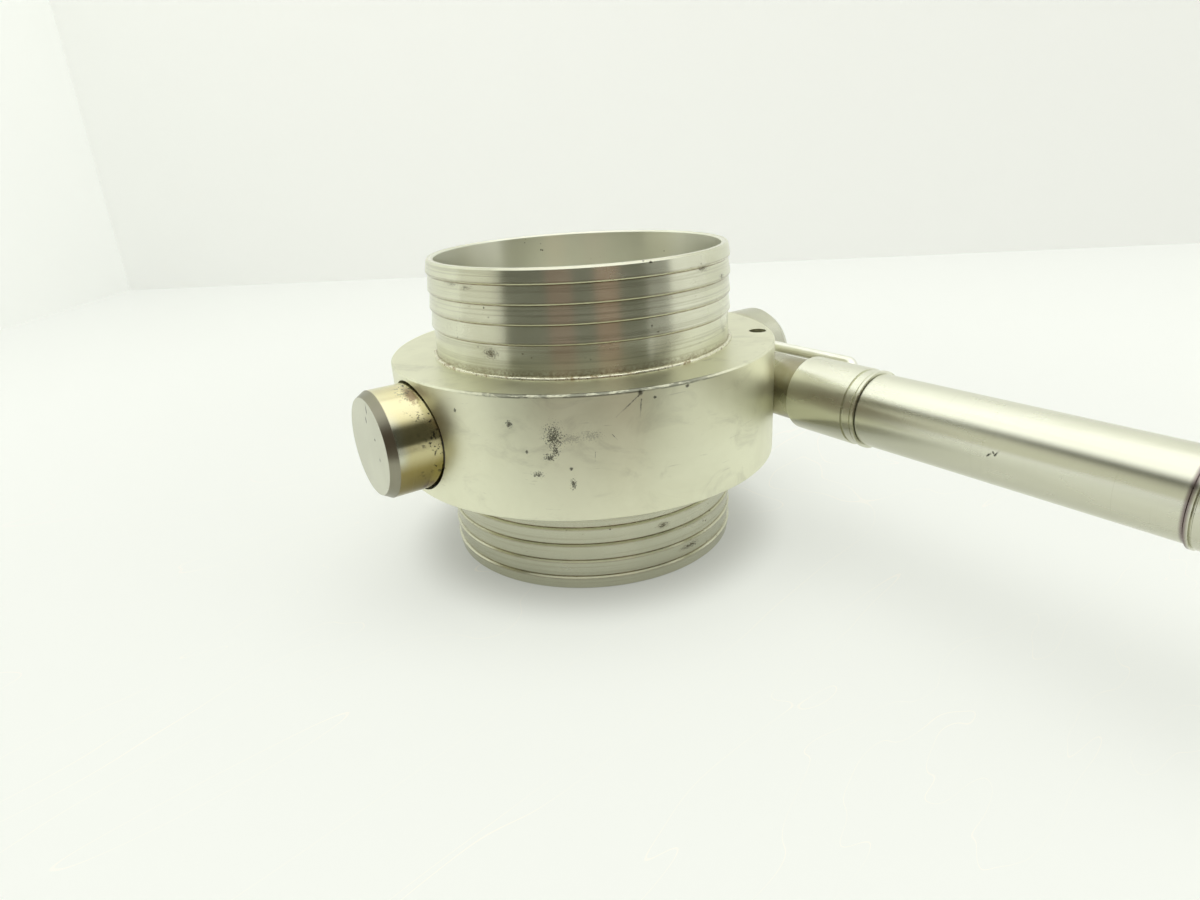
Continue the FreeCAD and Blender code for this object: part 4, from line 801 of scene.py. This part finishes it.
booth_corner = Vector((-0.077, 0.935, 0.0))
along_back = Vector((0.981, -0.819, 0.0)).normalized()
along_side = Vector((-0.545, -0.838, 0.0)).normalized()
back_length = 2.4
side_length = 0.70
wall_height = Vector((0, 0, 1.4))
room_way = Vector((-0.557, -0.830, 0.0))
room_side = Vector((0.830, -0.557, 0.0))
front_edge = 0.19
table_front = room_way * front_edge
left_reach = 0.575
right_reach = 1.6
back_end = booth_corner + along_back * back_length
side_end = booth_corner + along_side * side_length
past_corner = booth_corner - along_back * 0.1
sheet_of_booth("booth_floor", (table_front - room_side * left_reach,
                               table_front + room_side * right_reach,
                               back_end, past_corner), floor_finish)
sheet_of_booth("booth_back_wall", (booth_corner, back_end, back_end + wall_height,
                                   booth_corner + wall_height), wall_finish)
sheet_of_booth("booth_side_wall", (side_end, booth_corner, booth_corner + wall_height,
                                   side_end + wall_height), wall_finish)

# %% [markdown]
# ## Light
# The booth is lit evenly from above. The room in front of it is dim, with two warm upright shapes
# in it that leave reddish stripes in the polished steel. The world gives all of this from its
# directions, and one wide lamp overhead adds the soft contact shadow.

# %% World
world = bpy.data.worlds.new("booth_light")
scene.world = world
world.use_nodes = True
tree = world.node_tree
backdrop = tree.nodes["Background"]
direction = tree.nodes.new("ShaderNodeTexCoord").outputs["Generated"]


def stripe(middle, half):
    """A soft upright stripe in the dim room, by its place across it."""
    off = sums(tree, "ABSOLUTE", sums(tree, "SUBTRACT", dot(tree, direction, room_side), middle), 0.0)
    return between(tree, off, half + 0.03, half - 0.03)


def ahead(turn):
    """A level way into the room, turned to its side, in degrees."""
    side = math.radians(turn)
    return room_way * math.cos(side) + room_side * math.sin(side)


def inside(first_way, second_way):
    """1 on the near side of two borders, each of which stands square to its way."""
    return times(tree, between(tree, dot(tree, direction, first_way), -0.04, 0.04),
                 between(tree, dot(tree, direction, second_way), -0.04, 0.04))


# Where a reflection looks down, the room shows between the booth's two sides. Where it looks up,
# the room opens wide, and near the top the booth's own light takes over again.
z = axes(tree, direction)[2]
high_up = between(tree, z, -0.03, 0.05)
narrow = inside(ahead(32.5), ahead(-39.5))
wide = inside(ahead(-10.0), ahead(-20.0))
across = sums(tree, "ADD", times(tree, wide, high_up),
              times(tree, narrow, sums(tree, "SUBTRACT", 1.0, high_up)))
dim = times(tree, across, between(tree, z, 0.84, 0.58))
far_left = between(tree, dot(tree, direction, room_side), -0.78, -0.92)
room = paint(tree, high_up, (0.19, 0.195, 0.155), (0.085, 0.085, 0.066))
room = paint(tree, far_left, room, (0.70, 0.70, 0.58))
room = paint(tree, stripe(-0.23, 0.15), room, (0.20, 0.145, 0.115))
room = paint(tree, stripe(0.33, 0.135), room, (0.26, 0.18, 0.135))
booth = paint(tree, between(tree, z, 0.4, 0.95), (0.88, 0.89, 0.86), (1.42, 1.43, 1.39))
room_light = paint(tree, dim, booth, room)
seen = tree.nodes.new("ShaderNodeLightPath").outputs["Is Camera Ray"]
feed(tree, backdrop.inputs["Color"], paint(tree, seen, room_light, (0.93, 0.94, 0.91)))
backdrop.inputs["Strength"].default_value = 1.06
print("world:", world.name)

# %% Lamp
lamp_data = bpy.data.lights.new("overhead_lamp", "AREA")
lamp_data.shape = "RECTANGLE"
lamp_data.size = 1.1
lamp_data.size_y = 0.8
lamp_data.energy = 2.4
lamp = bpy.data.objects.new("overhead_lamp", lamp_data)
scene.collection.objects.link(lamp)
lamp.location = (0.16, 0.26, 1.15)
lamp.visible_glossy = False
scene.view_settings.view_transform = "Standard"
